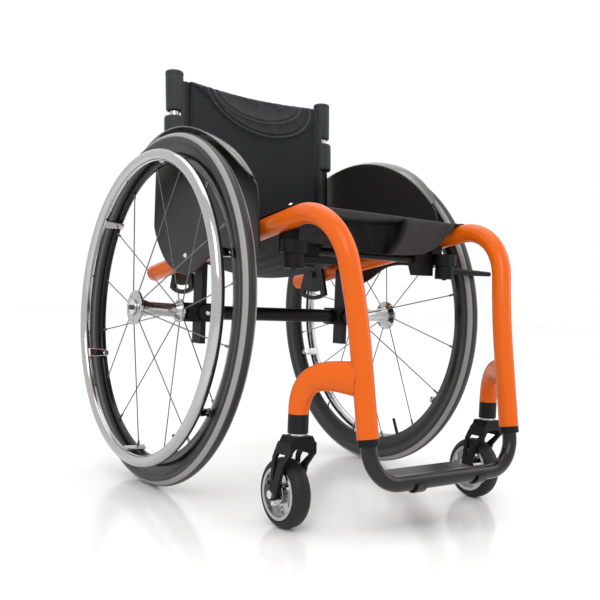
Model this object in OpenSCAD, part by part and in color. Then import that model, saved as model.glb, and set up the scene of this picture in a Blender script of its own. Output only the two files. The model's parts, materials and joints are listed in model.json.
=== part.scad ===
// Rigid active wheelchair with a fold-down back, cambered quick-release wheels and front casters.
// Sizes are in millimetres. +Z is up, -Y is forward and +X is the chair's left.
// The origin lies on the floor under the middle of the chair's outline.

/* [Rear wheels] */
// Outer diameter of a rear tyre
tyre_d = 590; // [580:1:620]
// Section width of a rear tyre
tyre_w = 25; // [24:0.5:28]
// Height of a rear tyre over its rim's bead seat
tyre_h = 25; // [24:0.5:30]
// Depth of the rim from bead seat to nose
rim_depth = 24; // [18:1:32]
// Distance between the two wheel planes at hub height
wheel_track = 457; // [452:1:480]
// Inward lean of each wheel's top, in degrees
camber = 2.25; // [0:0.25:4]
// Spokes in one wheel
spoke_count = 16; // [12:2:24]
// Thickness of a spoke
spoke_d = 2; // [1.8:0.1:2.6]
// Step from the rim's bead seat in to the handrim's centre line
handrim_step = 17; // [14:0.5:25]
// Diameter of the handrim's tube
handrim_tube_d = 19; // [16:0.5:22]
// Distance of the handrim outboard of the wheel plane
handrim_out = 32; // [30:1:40]
// Tabs that carry one handrim
tab_count = 6; // [4:1:8]
// Diameter of the hub's outer flange
hub_flange_d = 57; // [50:1:64]
// Reach of the hub outboard of the wheel plane
hub_out = 47; // [42:1:52]
// Reach of the hub inboard of the wheel plane
hub_in = 40; // [34:1:42]

/* [Axle] */
// Diameter of the quick-release axle pin
axle_pin_d = 12.7; // [10:0.1:14]
// Diameter of the axle tube
axle_tube_d = 25; // [22:0.5:30]
// Width of an upright axle bar, along the chair
axle_bar_w = 30; // [24:1:36]
// Thickness of an upright axle bar
axle_bar_t = 10; // [6:0.5:12]
// Distance between the middles of the two axle bars
axle_bar_track = 310; // [300:1:316]
// Reach of an axle bar below the axle
axle_bar_drop = 54; // [40:1:70]
// Height of an axle clamp
clamp_h = 32; // [30:1:40]

/* [Side frame] */
// Diameter of the frame tube
frame_tube_d = 30; // [28:0.5:34]
// Wall of the frame tube
frame_wall = 2; // [1.5:0.1:3]
// Distance between the centre lines of the two seat rails
rail_track = 330; // [310:1:340]
// Reach of a rail behind the rear axle
rail_back = 165; // [150:1:190]
// Height of a rail's rear end
rail_rear_z = 359; // [350:1:380]
// Rise of the rails towards the front, in degrees
rail_slope = 10; // [6:0.5:12]
// Straight length of a rail
rail_len = 484; // [470:1:500]
// Radius of the front bend
bend_r = 90; // [80:1:110]
// Length of a leg below the front bend
leg_len = 235; // [220:1:250]
// Inward tilt of a leg's top, in degrees
leg_tuck = 7.8; // [6:0.1:9]
// Outward turn of a leg's bowed upper part, in degrees
leg_bow = 6.8; // [5:0.1:8]
// Length of a leg's bowed upper part
bow_len = 126; // [110:1:128]

/* [Casters] */
// Diameter of a caster wheel
caster_d = 100; // [90:1:105]
// Width of a caster tyre
caster_w = 29; // [26:1:34]
// Diameter of a caster's metal core
core_d = 76; // [66:1:80]
// Distance between the two caster swivel axes
caster_track = 384; // [374:1:400]
// Distance of the swivel axes ahead of the rear axle
swivel_ahead = 366; // [360:1:372]
// Distance of a caster wheel behind its swivel axis
caster_trail = 25; // [20:1:28]
// Height of the top of a caster housing
housing_top = 165; // [160:1:175]
// Height of a caster housing
housing_h = 27; // [24:1:30]
// Diameter of a caster housing
housing_d = 29; // [28:0.5:34]
// Diameter of a caster stem
stem_d = 12; // [10:0.5:12.5]
// Thickness of a fork blade
blade_t = 5; // [4:0.5:7]
// Diameter of a caster axle
caster_axle_d = 8; // [6:0.5:10]

/* [Footrest] */
// Diameter of the footrest tube
foot_tube_d = 22; // [19:0.5:24]
// Radius of the footrest tube's bends
foot_bend_r = 50; // [40:1:60]
// Straight drop of the footrest tube below each leg
foot_drop = 15; // [12:1:24]
// Width of the footplate
plate_w = 170; // [160:1:214]
// Depth of the footplate
plate_depth = 60; // [50:1:98]
// Thickness of the footplate
plate_t = 3; // [2:0.5:5]

/* [Seat] */
// Thickness of the seat cloth
sling_t = 3; // [2:0.5:4]
// Sag of the seat cloth at its rear edge
sling_sag = 34; // [20:1:40]
// Distance of the seat's front hem ahead of the rear axle
sling_ahead = 306; // [290:1:312]
// Reach of the seat cloth behind the rear axle
sling_back = 50; // [30:1:56]
// Drop of the front flap at its middle
flap_drop = 62; // [40:1:70]

/* [Back] */
// Diameter of a back post's lower tube
post_d = 22; // [20:0.5:23]
// Diameter of a back post's upper tube
upper_tube_d = 18; // [15:0.5:18.5]
// Length of a back post from its pivot to its top
post_len = 294; // [280:1:330]
// Recline of the back, in degrees
recline = 4.5; // [2:0.5:8]
// Distance of the back pivot behind the rear axle
pivot_back = 84; // [76:1:96]
// Height of the back pivot above the rail's centre line
pivot_rise = 55; // [50:1:65]
// Thickness of the back panel at its middle
panel_t = 16; // [10:1:20]
// Rearward bow of the back panel
panel_bow = 16; // [10:1:32]

/* [Side guards] */
// Thickness of a guard panel
guard_t = 3; // [2:0.5:4]
// Gap between the rail and the guard panel
guard_gap = 4; // [2:0.25:5]
// Height of a guard panel's top edge over the tyre's tread circle
guard_rise = 2; // [0:0.5:6]
// Width of the fender lip
fender_w = 29; // [20:1:32]

/* [Brakes] */
// Diameter of the cross bar under the seat
cross_bar_d = 12; // [10:0.5:14]
// Distance of the cross bar ahead of the rear axle
cross_bar_ahead = 262; // [256:1:270]
// Length of a brake arm from its pivot to its tip
brake_arm_l = 104; // [85:1:106]
// Diameter of a brake shoe at its root
shoe_d = 14; // [10:0.5:15]

/* [Hidden] */
$fn = 64;

// Overrun of every cut past the faces that it opens
over = 1;
// Running clearance of a pin in its bore, on the radius
run_gap = 0.04;
// Clearance of pieces that are pressed, welded or clamped together
seat_gap = 0.1;
// Clearance between curved faces that pass each other
pass_gap = 0.4;

// Thinning of a tube where it is drawn round a bend, on the diameter, and its straight ends' lap there
bend_draw = 0.1;
bend_lap = 0.5;

// Right is -1 and left is +1 along X
right = -1;
left = 1;

// Place a left-hand piece on either side
module on_side(s) {
    mirror([s < 0 ? 1 : 0, 0, 0]) children();
}

// Both copies of a left-hand piece
module both_sides() {
    for (s = [right, left]) on_side(s) children();
}

// Plain ring about Z, standing on z = 0
module ring(outer_d, bore_d, h) {
    difference() {
        cylinder(d = outer_d, h = h);
        translate([0, 0, -over]) cylinder(d = bore_d, h = h + 2 * over);
    }
}

// Tube bend that starts at the origin along +Z and turns towards -Y
module bend(radius, angle, d) {
    translate([0, -radius, 0]) rotate([90, 0, 90])
        rotate_extrude(angle = angle) translate([radius, 0]) circle(d = d);
}

function rot_x(v, a) = [v.x, v.y * cos(a) - v.z * sin(a), v.y * sin(a) + v.z * cos(a)];
function rot_y(v, a) = [v.x * cos(a) + v.z * sin(a), v.y, v.z * cos(a) - v.x * sin(a)];
function rot_z(v, a) = [v.x * cos(a) - v.y * sin(a), v.x * sin(a) + v.y * cos(a), v.z];

// Triangles of a closed sheet: a front grid of m rows by n points, then the same grid behind it
function sheet_faces(n, m) = let (N = n * m) concat(
    [for (j = [0 : m - 2], i = [0 : n - 2]) [j * n + i, (j + 1) * n + i, (j + 1) * n + i + 1]],
    [for (j = [0 : m - 2], i = [0 : n - 2]) [j * n + i, (j + 1) * n + i + 1, j * n + i + 1]],
    [for (j = [0 : m - 2], i = [0 : n - 2]) [N + j * n + i, N + (j + 1) * n + i + 1, N + (j + 1) * n + i]],
    [for (j = [0 : m - 2], i = [0 : n - 2]) [N + j * n + i, N + j * n + i + 1, N + (j + 1) * n + i + 1]],
    [for (i = [0 : n - 2]) [i, i + 1, N + i + 1]],
    [for (i = [0 : n - 2]) [i, N + i + 1, N + i]],
    [for (i = [0 : n - 2], b = [(m - 1) * n]) [b + i + 1, b + i, N + b + i]],
    [for (i = [0 : n - 2], b = [(m - 1) * n]) [b + i + 1, N + b + i, N + b + i + 1]],
    [for (j = [0 : m - 2]) [(j + 1) * n, j * n, N + j * n]],
    [for (j = [0 : m - 2]) [(j + 1) * n, N + j * n, N + (j + 1) * n]],
    [for (j = [0 : m - 2], e = [n - 1]) [j * n + e, (j + 1) * n + e, N + (j + 1) * n + e]],
    [for (j = [0 : m - 2], e = [n - 1]) [j * n + e, N + (j + 1) * n + e, N + j * n + e]]
);

// Closed sheet between two grids of points
module sheet(front, back) {
    n = len(front[0]);
    m = len(front);
    points = concat([for (row = front) each row], [for (row = back) each row]);
    polyhedron(points = points, faces = sheet_faces(n, m), convexity = 6);
}

// Closed skin over rings of points, each ring counter-clockwise about the way that the skin runs
module loft(rings) {
    k = len(rings[0]);
    m = len(rings);
    e = (m - 1) * k;
    faces = concat(
        [for (j = [0 : m - 2], i = [0 : k - 1]) [j * k + i, (j + 1) * k + i, (j + 1) * k + (i + 1) % k]],
        [for (j = [0 : m - 2], i = [0 : k - 1]) [j * k + i, (j + 1) * k + (i + 1) % k, j * k + (i + 1) % k]],
        [for (i = [1 : k - 2]) [0, i, i + 1]],
        [for (i = [1 : k - 2]) [e, e + i + 1, e + i]]
    );
    polyhedron(points = [for (r = rings) each r], faces = faces, convexity = 6);
}

// Side frame: places worked out from its driving sizes, with y counted from the rear axle
rail_x = rail_track / 2;
rail_rear = [rail_x, rail_back, rail_rear_z];
frame_bore_d = frame_tube_d - 2 * frame_wall;
// Reamed socket in each rail's open rear end
socket_l = 90;
socket_ream = 0.2;
socket_d = frame_bore_d + 2 * socket_ream;

// Point of the leg's own frame, in the chair's frame: p.z runs down the leg, counted along the tube from the bend
bow_r = bow_len * 180 / (leg_bow * PI);
function leg_point(p) = let (q = [bow_r, 0, 0] + rot_y([p.x - bow_r, p.y, p.z - bow_len], leg_bow))
    rail_rear + rot_x([0, 0, rail_len]
    + rot_z([0, -bend_r, 0] + rot_x([q.x, q.y + bend_r, q.z], 90), -leg_tuck), 90 - rail_slope);

// Height of the rail's centre line at a place y
function rail_z(y) = rail_rear_z + (rail_back - y) * tan(rail_slope);

module rail_frame() {
    translate(rail_rear) rotate([90 - rail_slope, 0, 0]) children();
}

module bend_frame() {
    rail_frame() translate([0, 0, rail_len]) rotate([0, 0, -leg_tuck]) children();
}

module leg_top_frame() {
    bend_frame() translate([0, -bend_r, 0]) rotate([90, 0, 0]) translate([0, bend_r, 0]) children();
}

// Straight lower part of the leg
module leg_frame() {
    leg_top_frame() translate([bow_r, 0, 0]) rotate([0, leg_bow, 0]) translate([-bow_r, 0, -bow_len]) children();
}

// Footrest: the bends turn each leg's line into one level bar
leg_end = leg_point([0, 0, leg_len]);
foot_turn = 90 - leg_tuck + leg_bow;
bar_end = leg_point([-foot_bend_r * (1 - cos(foot_turn)), 0,
    leg_len + foot_drop + foot_bend_r * sin(foot_turn)]);
foot_y = bar_end.y;
foot_z = bar_end.z;

// The rear axle's place puts the outline's middle on the origin
axle_y = (foot_tube_d / 2 - foot_y - tyre_d / 2) / 2;

module chair() {
    translate([0, axle_y, 0]) children();
}

// Rear wheel: the axle height that stands the leaning tyre on the floor
tyre_ring_r = tyre_d / 2 - tyre_w / 2;
hub_z = tyre_ring_r * cos(camber) + tyre_w / 2;
wheel_x = wheel_track / 2;

// Wheel frame: Z runs outboard along the leaning axle, from the wheel plane
module wheel_frame() {
    translate([wheel_x, 0, hub_z]) rotate([0, -camber, 0]) rotate([0, 90, 0]) children();
}

// Height of the leaning axle at a place x
function axle_z(x) = hub_z - (wheel_x - x) * tan(camber);

// Side frame pieces
frame_orange = "darkorange";

// Bent part of the side tube: the front bend, the leg's bow, and short straight laps where they meet
module side_bends(d, bend_d) {
    bend_frame() bend(bend_r, 90, bend_d);
    leg_top_frame() {
        translate([0, 0, -bend_lap]) cylinder(d = d, h = 2 * bend_lap);
        rotate([0, 0, 90]) bend(bow_r, leg_bow, bend_d);
    }
}

module frame_side(s) {
    leg_low_l = leg_len - bow_len + bend_lap;
    color(frame_orange) on_side(s) difference() {
        union() {
            rail_frame() cylinder(d = frame_tube_d, h = rail_len + bend_lap);
            side_bends(frame_tube_d, frame_tube_d - bend_draw);
            leg_frame() translate([0, 0, bow_len - bend_lap]) cylinder(d = frame_tube_d, h = leg_low_l);
        }
        rail_frame() translate([0, 0, -over]) cylinder(d = frame_bore_d, h = rail_len + over + bend_lap);
        rail_frame() translate([0, 0, -over]) cylinder(d = socket_d, h = socket_l + over);
        side_bends(frame_bore_d, frame_bore_d + bend_draw);
        leg_frame() translate([0, 0, bow_len - bend_lap]) cylinder(d = frame_bore_d, h = leg_low_l + over);
    }
}

// Caster arm: an oval tube on a planar curve from the leg to the top of the caster housing
arm_drop = 157;
arm_rise = 7;
arm_start_h = 49;
arm_start_w = 25;
arm_pull_share = 0.6;
arm_rings = 16;
arm_sides = 28;
arm_ridge_share = 0.05;
arm_ridge_power = 12;
arm_taper_power = 0.8;
arm_start = leg_point([0, 0, arm_drop]);
arm_end = [caster_track / 2, -swivel_ahead, housing_top];
arm_run = [arm_end.x - arm_start.x, arm_end.y - arm_start.y, 0];
arm_way = arm_run / norm(arm_run);
arm_side_way = [-arm_way.y, arm_way.x, 0];
arm_top = arm_start.z + arm_rise;
arm_pull = arm_start + arm_run * arm_pull_share + [0, 0, arm_rise];
arm_elbow = [arm_end.x, arm_end.y, arm_top];

function bezier(a, b, c, d, t) =
    a * pow(1 - t, 3) + b * 3 * t * pow(1 - t, 2) + c * 3 * t * t * (1 - t) + d * pow(t, 3);
function bezier_way(a, b, c, d, t) = let (
    v = (b - a) * pow(1 - t, 2) + (c - b) * 2 * t * (1 - t) + (d - c) * t * t) v / norm(v);

// One oval ring of the arm, with a faint ridge along each flank
function arm_ring(t) = let (
    p = bezier(arm_start, arm_pull, arm_elbow, arm_end, t),
    way = bezier_way(arm_start, arm_pull, arm_elbow, arm_end, t),
    m = cross(way, arm_side_way),
    half_w = (arm_start_w + (housing_d - arm_start_w) * t) / 2,
    half_h = (arm_start_h + (housing_d - arm_start_h) * pow(t, arm_taper_power)) / 2
) [for (i = [0 : arm_sides - 1]) let (
    a = i * 360 / arm_sides,
    ridge = 1 + arm_ridge_share * (1 - t) * pow(abs(cos(a)), arm_ridge_power)
) p + arm_side_way * half_w * ridge * cos(a) + m * half_h * sin(a)];

nut_d = 19;
nut_h = 8;
stem_nut_room = 12;
stem_bearing_d = 24;
stem_bearing_h = 6;

module caster_arm(s) {
    color(frame_orange) on_side(s) difference() {
        loft([for (j = [0 : arm_rings]) arm_ring(j / arm_rings)]);
        leg_frame() cylinder(d = frame_tube_d + 2 * seat_gap, h = leg_len, $fn = 96);
        translate([arm_end.x, arm_end.y, housing_top - over])
            cylinder(d = stem_bearing_d, h = stem_nut_room + over);
    }
}

// Caster housing, bearings and stem, on the swivel axis
housing_bottom = housing_top - housing_h;
stem_bearing_inset = 1.5;
stem_gap = 3;
stem_shoulder_d = 22;
fork_top = housing_bottom - stem_gap;
crown_h = 17;
stem_top = housing_top + nut_h + stem_bearing_inset;

module swivel_frame() {
    translate([caster_track / 2, -swivel_ahead, 0]) children();
}

module caster_housings() {
    color("#1c1c1e") both_sides() swivel_frame()
        translate([0, 0, housing_bottom]) ring(housing_d, stem_bearing_d, housing_h);
}

module caster_stem_bearings() {
    color("silver") both_sides() swivel_frame()
        for (z = [housing_bottom + stem_bearing_inset, housing_top - stem_bearing_inset - stem_bearing_h])
            translate([0, 0, z]) ring(stem_bearing_d - 2 * run_gap, stem_d + 2 * run_gap, stem_bearing_h);
}

module caster_stem(s) {
    color("silver") on_side(s) swivel_frame() {
        translate([0, 0, fork_top - crown_h]) cylinder(d = stem_d, h = stem_top - fork_top + crown_h);
        translate([0, 0, fork_top]) cylinder(d = stem_shoulder_d, h = stem_gap - pass_gap);
        translate([0, 0, housing_top + pass_gap]) cylinder(d = nut_d, h = nut_h, $fn = 6);
    }
}

// Caster fork: an arched crown and two open blades that trail to the axle
blade_gap = 2.5;
crown_w = 31;
crown_l = 30;
fork_w = caster_w + 2 * blade_gap + 2 * blade_t;
caster_r = caster_d / 2;
shoulder_z = fork_top - crown_h;
arch_rise = 9;
axle_boss_d = 19;
// Blade outline: y in caster trails behind the swivel axis, z from the axle to the shoulder
blade_shares = [[-0.62, 1.12], [0.62, 1.12], [1.12, 0.78], [1.36, 0.02], [0.64, -0.02], [0.1, 0.6], [-0.62, 0.9]];
// Window in the blade, in the same shares
window_shares = [[-0.22, 0.98], [0.42, 0.98], [0.84, 0.76], [1.04, 0.3], [0.94, 0.3], [0.62, 0.62], [-0.1, 0.84]];
function blade_points(shares) = [for (p = shares)
    [p.x * caster_trail, caster_r + p.y * (shoulder_z - caster_r)]];

module fork_blade() {
    rotate([90, 0, 90]) linear_extrude(blade_t) difference() {
        union() {
            polygon(blade_points(blade_shares));
            translate([caster_trail, caster_r]) circle(d = axle_boss_d);
        }
        polygon(blade_points(window_shares));
    }
}

module caster_fork(s) {
    inner = fork_w / 2 - blade_t;
    color("#1c1c1e") on_side(s) swivel_frame() difference() {
        union() {
            translate([0, crown_l / 2, 0]) rotate([90, 0, 0]) linear_extrude(crown_l) polygon([
                [-crown_w / 2, fork_top], [crown_w / 2, fork_top],
                [fork_w / 2, shoulder_z + blade_t], [fork_w / 2, shoulder_z - arch_rise],
                [inner, shoulder_z - arch_rise], [inner, shoulder_z - blade_t],
                [inner - blade_t, shoulder_z], [blade_t - inner, shoulder_z],
                [-inner, shoulder_z - blade_t], [-inner, shoulder_z - arch_rise],
                [-fork_w / 2, shoulder_z - arch_rise], [-fork_w / 2, shoulder_z + blade_t]
            ]);
            translate([inner, 0, 0]) fork_blade();
            translate([-fork_w / 2, 0, 0]) fork_blade();
        }
        translate([0, 0, shoulder_z - over]) cylinder(d = stem_d + 2 * seat_gap, h = crown_h + 2 * over);
        translate([-fork_w, caster_trail, caster_r]) rotate([0, 90, 0])
            cylinder(d = caster_axle_d + 2 * seat_gap, h = 2 * fork_w);
    }
}

// Caster wheel pieces, on their own axle: Z runs to the chair's left
caster_bolt_head_d = 13;
caster_bolt_head_h = 5;
caster_bearing_d = 22;
caster_bearing_h = 7;
caster_hub_d = 30;
core_web_t = 8;
core_rim_t = 5;
core_hole_count = 7;
core_hole_d = 10;
caster_edge_r = 9;

module caster_wheel_frame(s) {
    on_side(s) swivel_frame() translate([0, caster_trail, caster_r]) rotate([0, 90, 0]) children();
}

module caster_axle(s) {
    color("silver") caster_wheel_frame(s) {
        translate([0, 0, -fork_w / 2]) cylinder(d = caster_axle_d, h = fork_w);
        translate([0, 0, fork_w / 2]) cylinder(d = caster_bolt_head_d, h = caster_bolt_head_h, $fn = 6);
        translate([0, 0, -fork_w / 2 - caster_bolt_head_h])
            cylinder(d = caster_bolt_head_d, h = caster_bolt_head_h);
    }
}

module caster_core(s) {
    web_ring_d = (core_d - 2 * core_rim_t + caster_hub_d) / 2;
    color("#d0d2d4") caster_wheel_frame(s) difference() {
        union() {
            translate([0, 0, -caster_w / 2]) ring(caster_hub_d, caster_bearing_d, caster_w);
            translate([0, 0, -core_web_t / 2]) ring(core_d, caster_bearing_d, core_web_t);
            translate([0, 0, -caster_w / 2]) ring(core_d, core_d - 2 * core_rim_t, caster_w);
        }
        for (i = [0 : core_hole_count - 1]) rotate(i * 360 / core_hole_count)
            translate([web_ring_d / 2, 0, -core_web_t]) cylinder(d = core_hole_d, h = 2 * core_web_t);
    }
}

module caster_tyre(s) {
    color("#18181a") caster_wheel_frame(s) rotate_extrude() difference() {
        union() {
            translate([core_d / 2 + seat_gap, -caster_w / 2])
                square([caster_r - caster_edge_r - core_d / 2 - seat_gap, caster_w]);
            translate([caster_r - caster_edge_r, caster_edge_r - caster_w / 2])
                square([caster_edge_r, caster_w - 2 * caster_edge_r]);
            for (z = [caster_edge_r - caster_w / 2, caster_w / 2 - caster_edge_r])
                translate([caster_r - caster_edge_r, z]) circle(r = caster_edge_r);
        }
        translate([0, -caster_w]) square([core_d / 2 + seat_gap, 2 * caster_w]);
    }
}

module caster_bearings(s) {
    color("silver") caster_wheel_frame(s)
        for (z = [-caster_w / 2, caster_w / 2 - caster_bearing_h])
            translate([0, 0, z]) ring(caster_bearing_d - 2 * run_gap, caster_axle_d + 2 * run_gap, caster_bearing_h);
}

// Footrest pieces
collar_h = 10;
collar_plug_l = 45;
foot_plug_l = 40;

module footrest_tube() {
    bar_half = bar_end.x + bend_lap;
    color("#202022") {
        both_sides() leg_frame() translate([0, 0, leg_len]) {
            translate([0, 0, -foot_plug_l]) cylinder(d = foot_tube_d, h = foot_plug_l + foot_drop + bend_lap);
            translate([0, 0, foot_drop]) rotate([0, 0, -90]) bend(foot_bend_r, foot_turn, foot_tube_d - bend_draw);
        }
        translate([-bar_half, foot_y, foot_z]) rotate([0, 90, 0]) cylinder(d = foot_tube_d, h = 2 * bar_half);
    }
}

module footrest_collars() {
    color("#1c1c1e") both_sides() leg_frame() translate([0, 0, leg_len]) difference() {
        union() {
            cylinder(d = frame_tube_d, h = collar_h);
            translate([0, 0, -collar_plug_l])
                cylinder(d = frame_bore_d - 2 * seat_gap, h = collar_plug_l);
        }
        translate([0, 0, -collar_plug_l - over])
            cylinder(d = foot_tube_d + 2 * seat_gap, h = collar_plug_l + collar_h + 2 * over);
    }
}

// Footplate behind the bar, level, on two saddle clamps
plate_corner_r = 12;
plate_front_gap = 1;
plate_front = foot_tube_d / 2 + plate_front_gap;
saddle_w = 18;
saddle_wall = 4;
saddle_tongue_l = 42;
saddle_tongue_h = 6;
saddle_apart = 120;

module footplate_frame() {
    translate([0, foot_y, foot_z]) children();
}

module footplate() {
    x = plate_w / 2 - plate_corner_r;
    color("#151517") footplate_frame() translate([0, plate_front, 0]) linear_extrude(plate_t) union() {
        for (px = [-x, x]) translate([px, plate_depth - plate_corner_r]) circle(r = plate_corner_r);
        translate([-plate_w / 2, 0]) square([plate_w, plate_depth - plate_corner_r]);
        translate([-x, 0]) square([2 * x, plate_depth]);
    }
}

module footplate_clamps() {
    saddle_d = foot_tube_d + 2 * saddle_wall;
    color("#1c1c1e") footplate_frame() for (x = [-saddle_apart / 2, saddle_apart / 2])
        translate([x - saddle_w / 2, 0, 0]) difference() {
            union() {
                intersection() {
                    rotate([0, 90, 0]) cylinder(d = saddle_d, h = saddle_w);
                    translate([-over, -saddle_d, -saddle_d]) cube([saddle_w + 2 * over, 2 * saddle_d, saddle_d]);
                }
                translate([0, 0, -saddle_tongue_h]) cube([saddle_w, saddle_tongue_l, saddle_tongue_h]);
            }
            translate([-over, 0, 0]) rotate([0, 90, 0])
                cylinder(d = foot_tube_d + 2 * seat_gap, h = saddle_w + 2 * over);
        }
}

// Axle group: a cross tube, two upright bars under the rails, clamps and quick-release pins
axle_tube_wall = 3;
bar_x = axle_bar_track / 2;
bar_inner_x = bar_x - axle_bar_t / 2;
bar_outer_x = bar_x + axle_bar_t / 2;
clamp_in = 19;
clamp_out = 27;
clamp_depth = 46;
receiver_d = 20;
receiver_inset = 1;
cap_d = 30;
cap_h = 6;
cap_bolt_d = 8;
cap_bolt_h = 3;
tube_z = axle_z(bar_x);

module axle_tube() {
    color("#1a1a1c") translate([-bar_inner_x, 0, tube_z]) rotate([0, 90, 0])
        ring(axle_tube_d, axle_tube_d - 2 * axle_tube_wall, 2 * bar_inner_x);
}

module axle_bars() {
    bottom = tube_z - axle_bar_drop;
    color("#1a1a1c") both_sides() difference() {
        translate([bar_inner_x, -axle_bar_w / 2, bottom])
            cube([axle_bar_t, axle_bar_w, rail_z(axle_bar_w / 2) - bottom]);
        rail_frame() translate([0, 0, -over]) cylinder(d = frame_tube_d + 2 * seat_gap, h = rail_len);
        wheel_frame() translate([0, 0, -wheel_x]) cylinder(d = receiver_d + 2 * seat_gap, h = wheel_x);
    }
}

module axle_clamps() {
    inner = bar_inner_x - clamp_in;
    color("#1a1a1c") both_sides() difference() {
        translate([inner, -clamp_depth / 2, tube_z - clamp_h / 2])
            cube([clamp_in + axle_bar_t + clamp_out, clamp_depth, clamp_h]);
        translate([bar_inner_x - seat_gap, -axle_bar_w / 2 - seat_gap, tube_z - clamp_h])
            cube([axle_bar_t + 2 * seat_gap, axle_bar_w + 2 * seat_gap, 2 * clamp_h]);
        translate([inner - over, 0, tube_z]) rotate([0, 90, 0])
            cylinder(d = axle_tube_d + 2 * seat_gap, h = clamp_in + 2 * over);
        wheel_frame() translate([0, 0, bar_x - wheel_x])
            cylinder(d = receiver_d + 2 * seat_gap, h = wheel_x);
    }
}

receiver_in = bar_inner_x + receiver_inset;
receiver_end = bar_outer_x + clamp_out;

module axle_receivers() {
    color("silver") both_sides() wheel_frame() translate([0, 0, receiver_in - wheel_x])
        ring(receiver_d, axle_pin_d + 2 * run_gap, receiver_end - receiver_in);
}

// Round caps with a bolt on the front of each clamp
module axle_caps() {
    color("#1a1a1c") both_sides() translate([bar_x, -clamp_depth / 2, tube_z]) rotate([90, 0, 0]) {
        cylinder(d = cap_d, h = cap_h);
        translate([0, 0, cap_h]) cylinder(d = cap_bolt_d, h = cap_bolt_h);
    }
}

// Quick-release pin: runs from the receiver through the hub to a cap with a push button
pin_head_d = 24;
pin_head_h = 3;
pin_head_gap = 0.5;
button_d = 8;
button_l = 14;
button_proud = 5;
pin_inner = receiver_in - wheel_x + receiver_inset;
pin_outer = hub_out + pin_head_gap;

module axle_pins() {
    color("silver") both_sides() wheel_frame() difference() {
        union() {
            translate([0, 0, pin_inner]) cylinder(d = axle_pin_d, h = pin_outer - pin_inner);
            translate([0, 0, pin_outer]) cylinder(d = pin_head_d, h = pin_head_h);
        }
        translate([0, 0, pin_outer + pin_head_h - button_l])
            cylinder(d = button_d + 2 * run_gap, h = button_l + over);
    }
}

module release_button(s) {
    color("#333336") on_side(s) wheel_frame()
        translate([0, 0, pin_outer + pin_head_h - button_l + button_proud]) cylinder(d = button_d, h = button_l);
}

// Hub: a slim barrel with a wide outer flange and a narrow inner flange
hub_barrel_d = 23;
hub_end_d = 34;
hub_inner_flange_d = 40;
hub_flange_t = 4;
hub_cone_l = 26;
hub_end_l = 11;
hub_bore_d = 16;
hub_bearing_d = 28.6;
hub_bearing_h = 8;
flange_hole_d = 4;
flange_hole_count = 5;
inner_flange_z = -hub_in + hub_end_l - hub_flange_t;

module hub(s) {
    color("#d0d2d4") on_side(s) wheel_frame() difference() {
        rotate_extrude() polygon([
            [hub_bore_d / 2, -hub_in], [hub_end_d / 2, -hub_in],
            [hub_end_d / 2, inner_flange_z - hub_flange_t], [hub_inner_flange_d / 2, inner_flange_z - hub_flange_t],
            [hub_inner_flange_d / 2, inner_flange_z], [hub_end_d / 2, inner_flange_z],
            [hub_barrel_d / 2, inner_flange_z + hub_end_l], [hub_barrel_d / 2, hub_out - hub_cone_l],
            [hub_end_d / 2, hub_out - 2 * hub_flange_t], [hub_flange_d / 2, hub_out - hub_flange_t],
            [hub_flange_d / 2, hub_out], [hub_bore_d / 2, hub_out]
        ]);
        translate([0, 0, -hub_in - over]) cylinder(d = hub_bearing_d, h = hub_bearing_h + over);
        translate([0, 0, hub_out - hub_bearing_h]) cylinder(d = hub_bearing_d, h = hub_bearing_h + over);
        for (i = [0 : flange_hole_count - 1]) rotate(i * 360 / flange_hole_count)
            translate([(hub_flange_d + hub_bearing_d) / 4, 0, hub_out - hub_flange_t / 2])
                cylinder(d = flange_hole_d, h = hub_flange_t);
    }
}

module hub_bearings(s) {
    color("#8a8c90") on_side(s) wheel_frame()
        for (z = [-hub_in, hub_out - hub_bearing_h]) translate([0, 0, z])
            ring(hub_bearing_d - 2 * run_gap, axle_pin_d + 2 * run_gap, hub_bearing_h);
}

// Rim: a hollow deep section with a bead channel and two hooks
bead_w = 17;
hook_t = 2;
hook_h = 6;
rim_floor_t = 2;
rim_skin_t = 1.6;
nose_w = 9;
rim_flank_share = 0.4;
bead_r = tyre_d / 2 - tyre_h;
nose_r = bead_r - rim_depth;
hook_x = bead_w / 2 + seat_gap + hook_t;
flank_r = bead_r - rim_depth * rim_flank_share;
valve_angle = 338;
valve_d = 6;
valve_l = 34;

module rim(s) {
    color("#141416") on_side(s) wheel_frame() difference() {
        rotate_extrude($fn = 96) difference() {
            polygon([
                [nose_r, -nose_w / 2], [flank_r, -hook_x], [bead_r + hook_h, -hook_x],
                [bead_r + hook_h, hook_t - hook_x], [bead_r, hook_t - hook_x],
                [bead_r, hook_x - hook_t], [bead_r + hook_h, hook_x - hook_t],
                [bead_r + hook_h, hook_x], [flank_r, hook_x], [nose_r, nose_w / 2]
            ]);
            polygon([
                [nose_r + rim_skin_t, rim_skin_t - nose_w / 2], [flank_r, rim_skin_t - hook_x],
                [bead_r - rim_floor_t, rim_skin_t - hook_x], [bead_r - rim_floor_t, hook_x - rim_skin_t],
                [flank_r, hook_x - rim_skin_t], [nose_r + rim_skin_t, nose_w / 2 - rim_skin_t]
            ]);
        }
        rotate(valve_angle) rotate([0, 90, 0]) translate([0, 0, nose_r - over])
            cylinder(d = valve_d + 2 * seat_gap, h = rim_depth + 2 * over);
    }
}

// Tyre: an open carcass that holds the inner tube
tyre_wall = 2.4;
tyre_mouth = 12;

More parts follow.
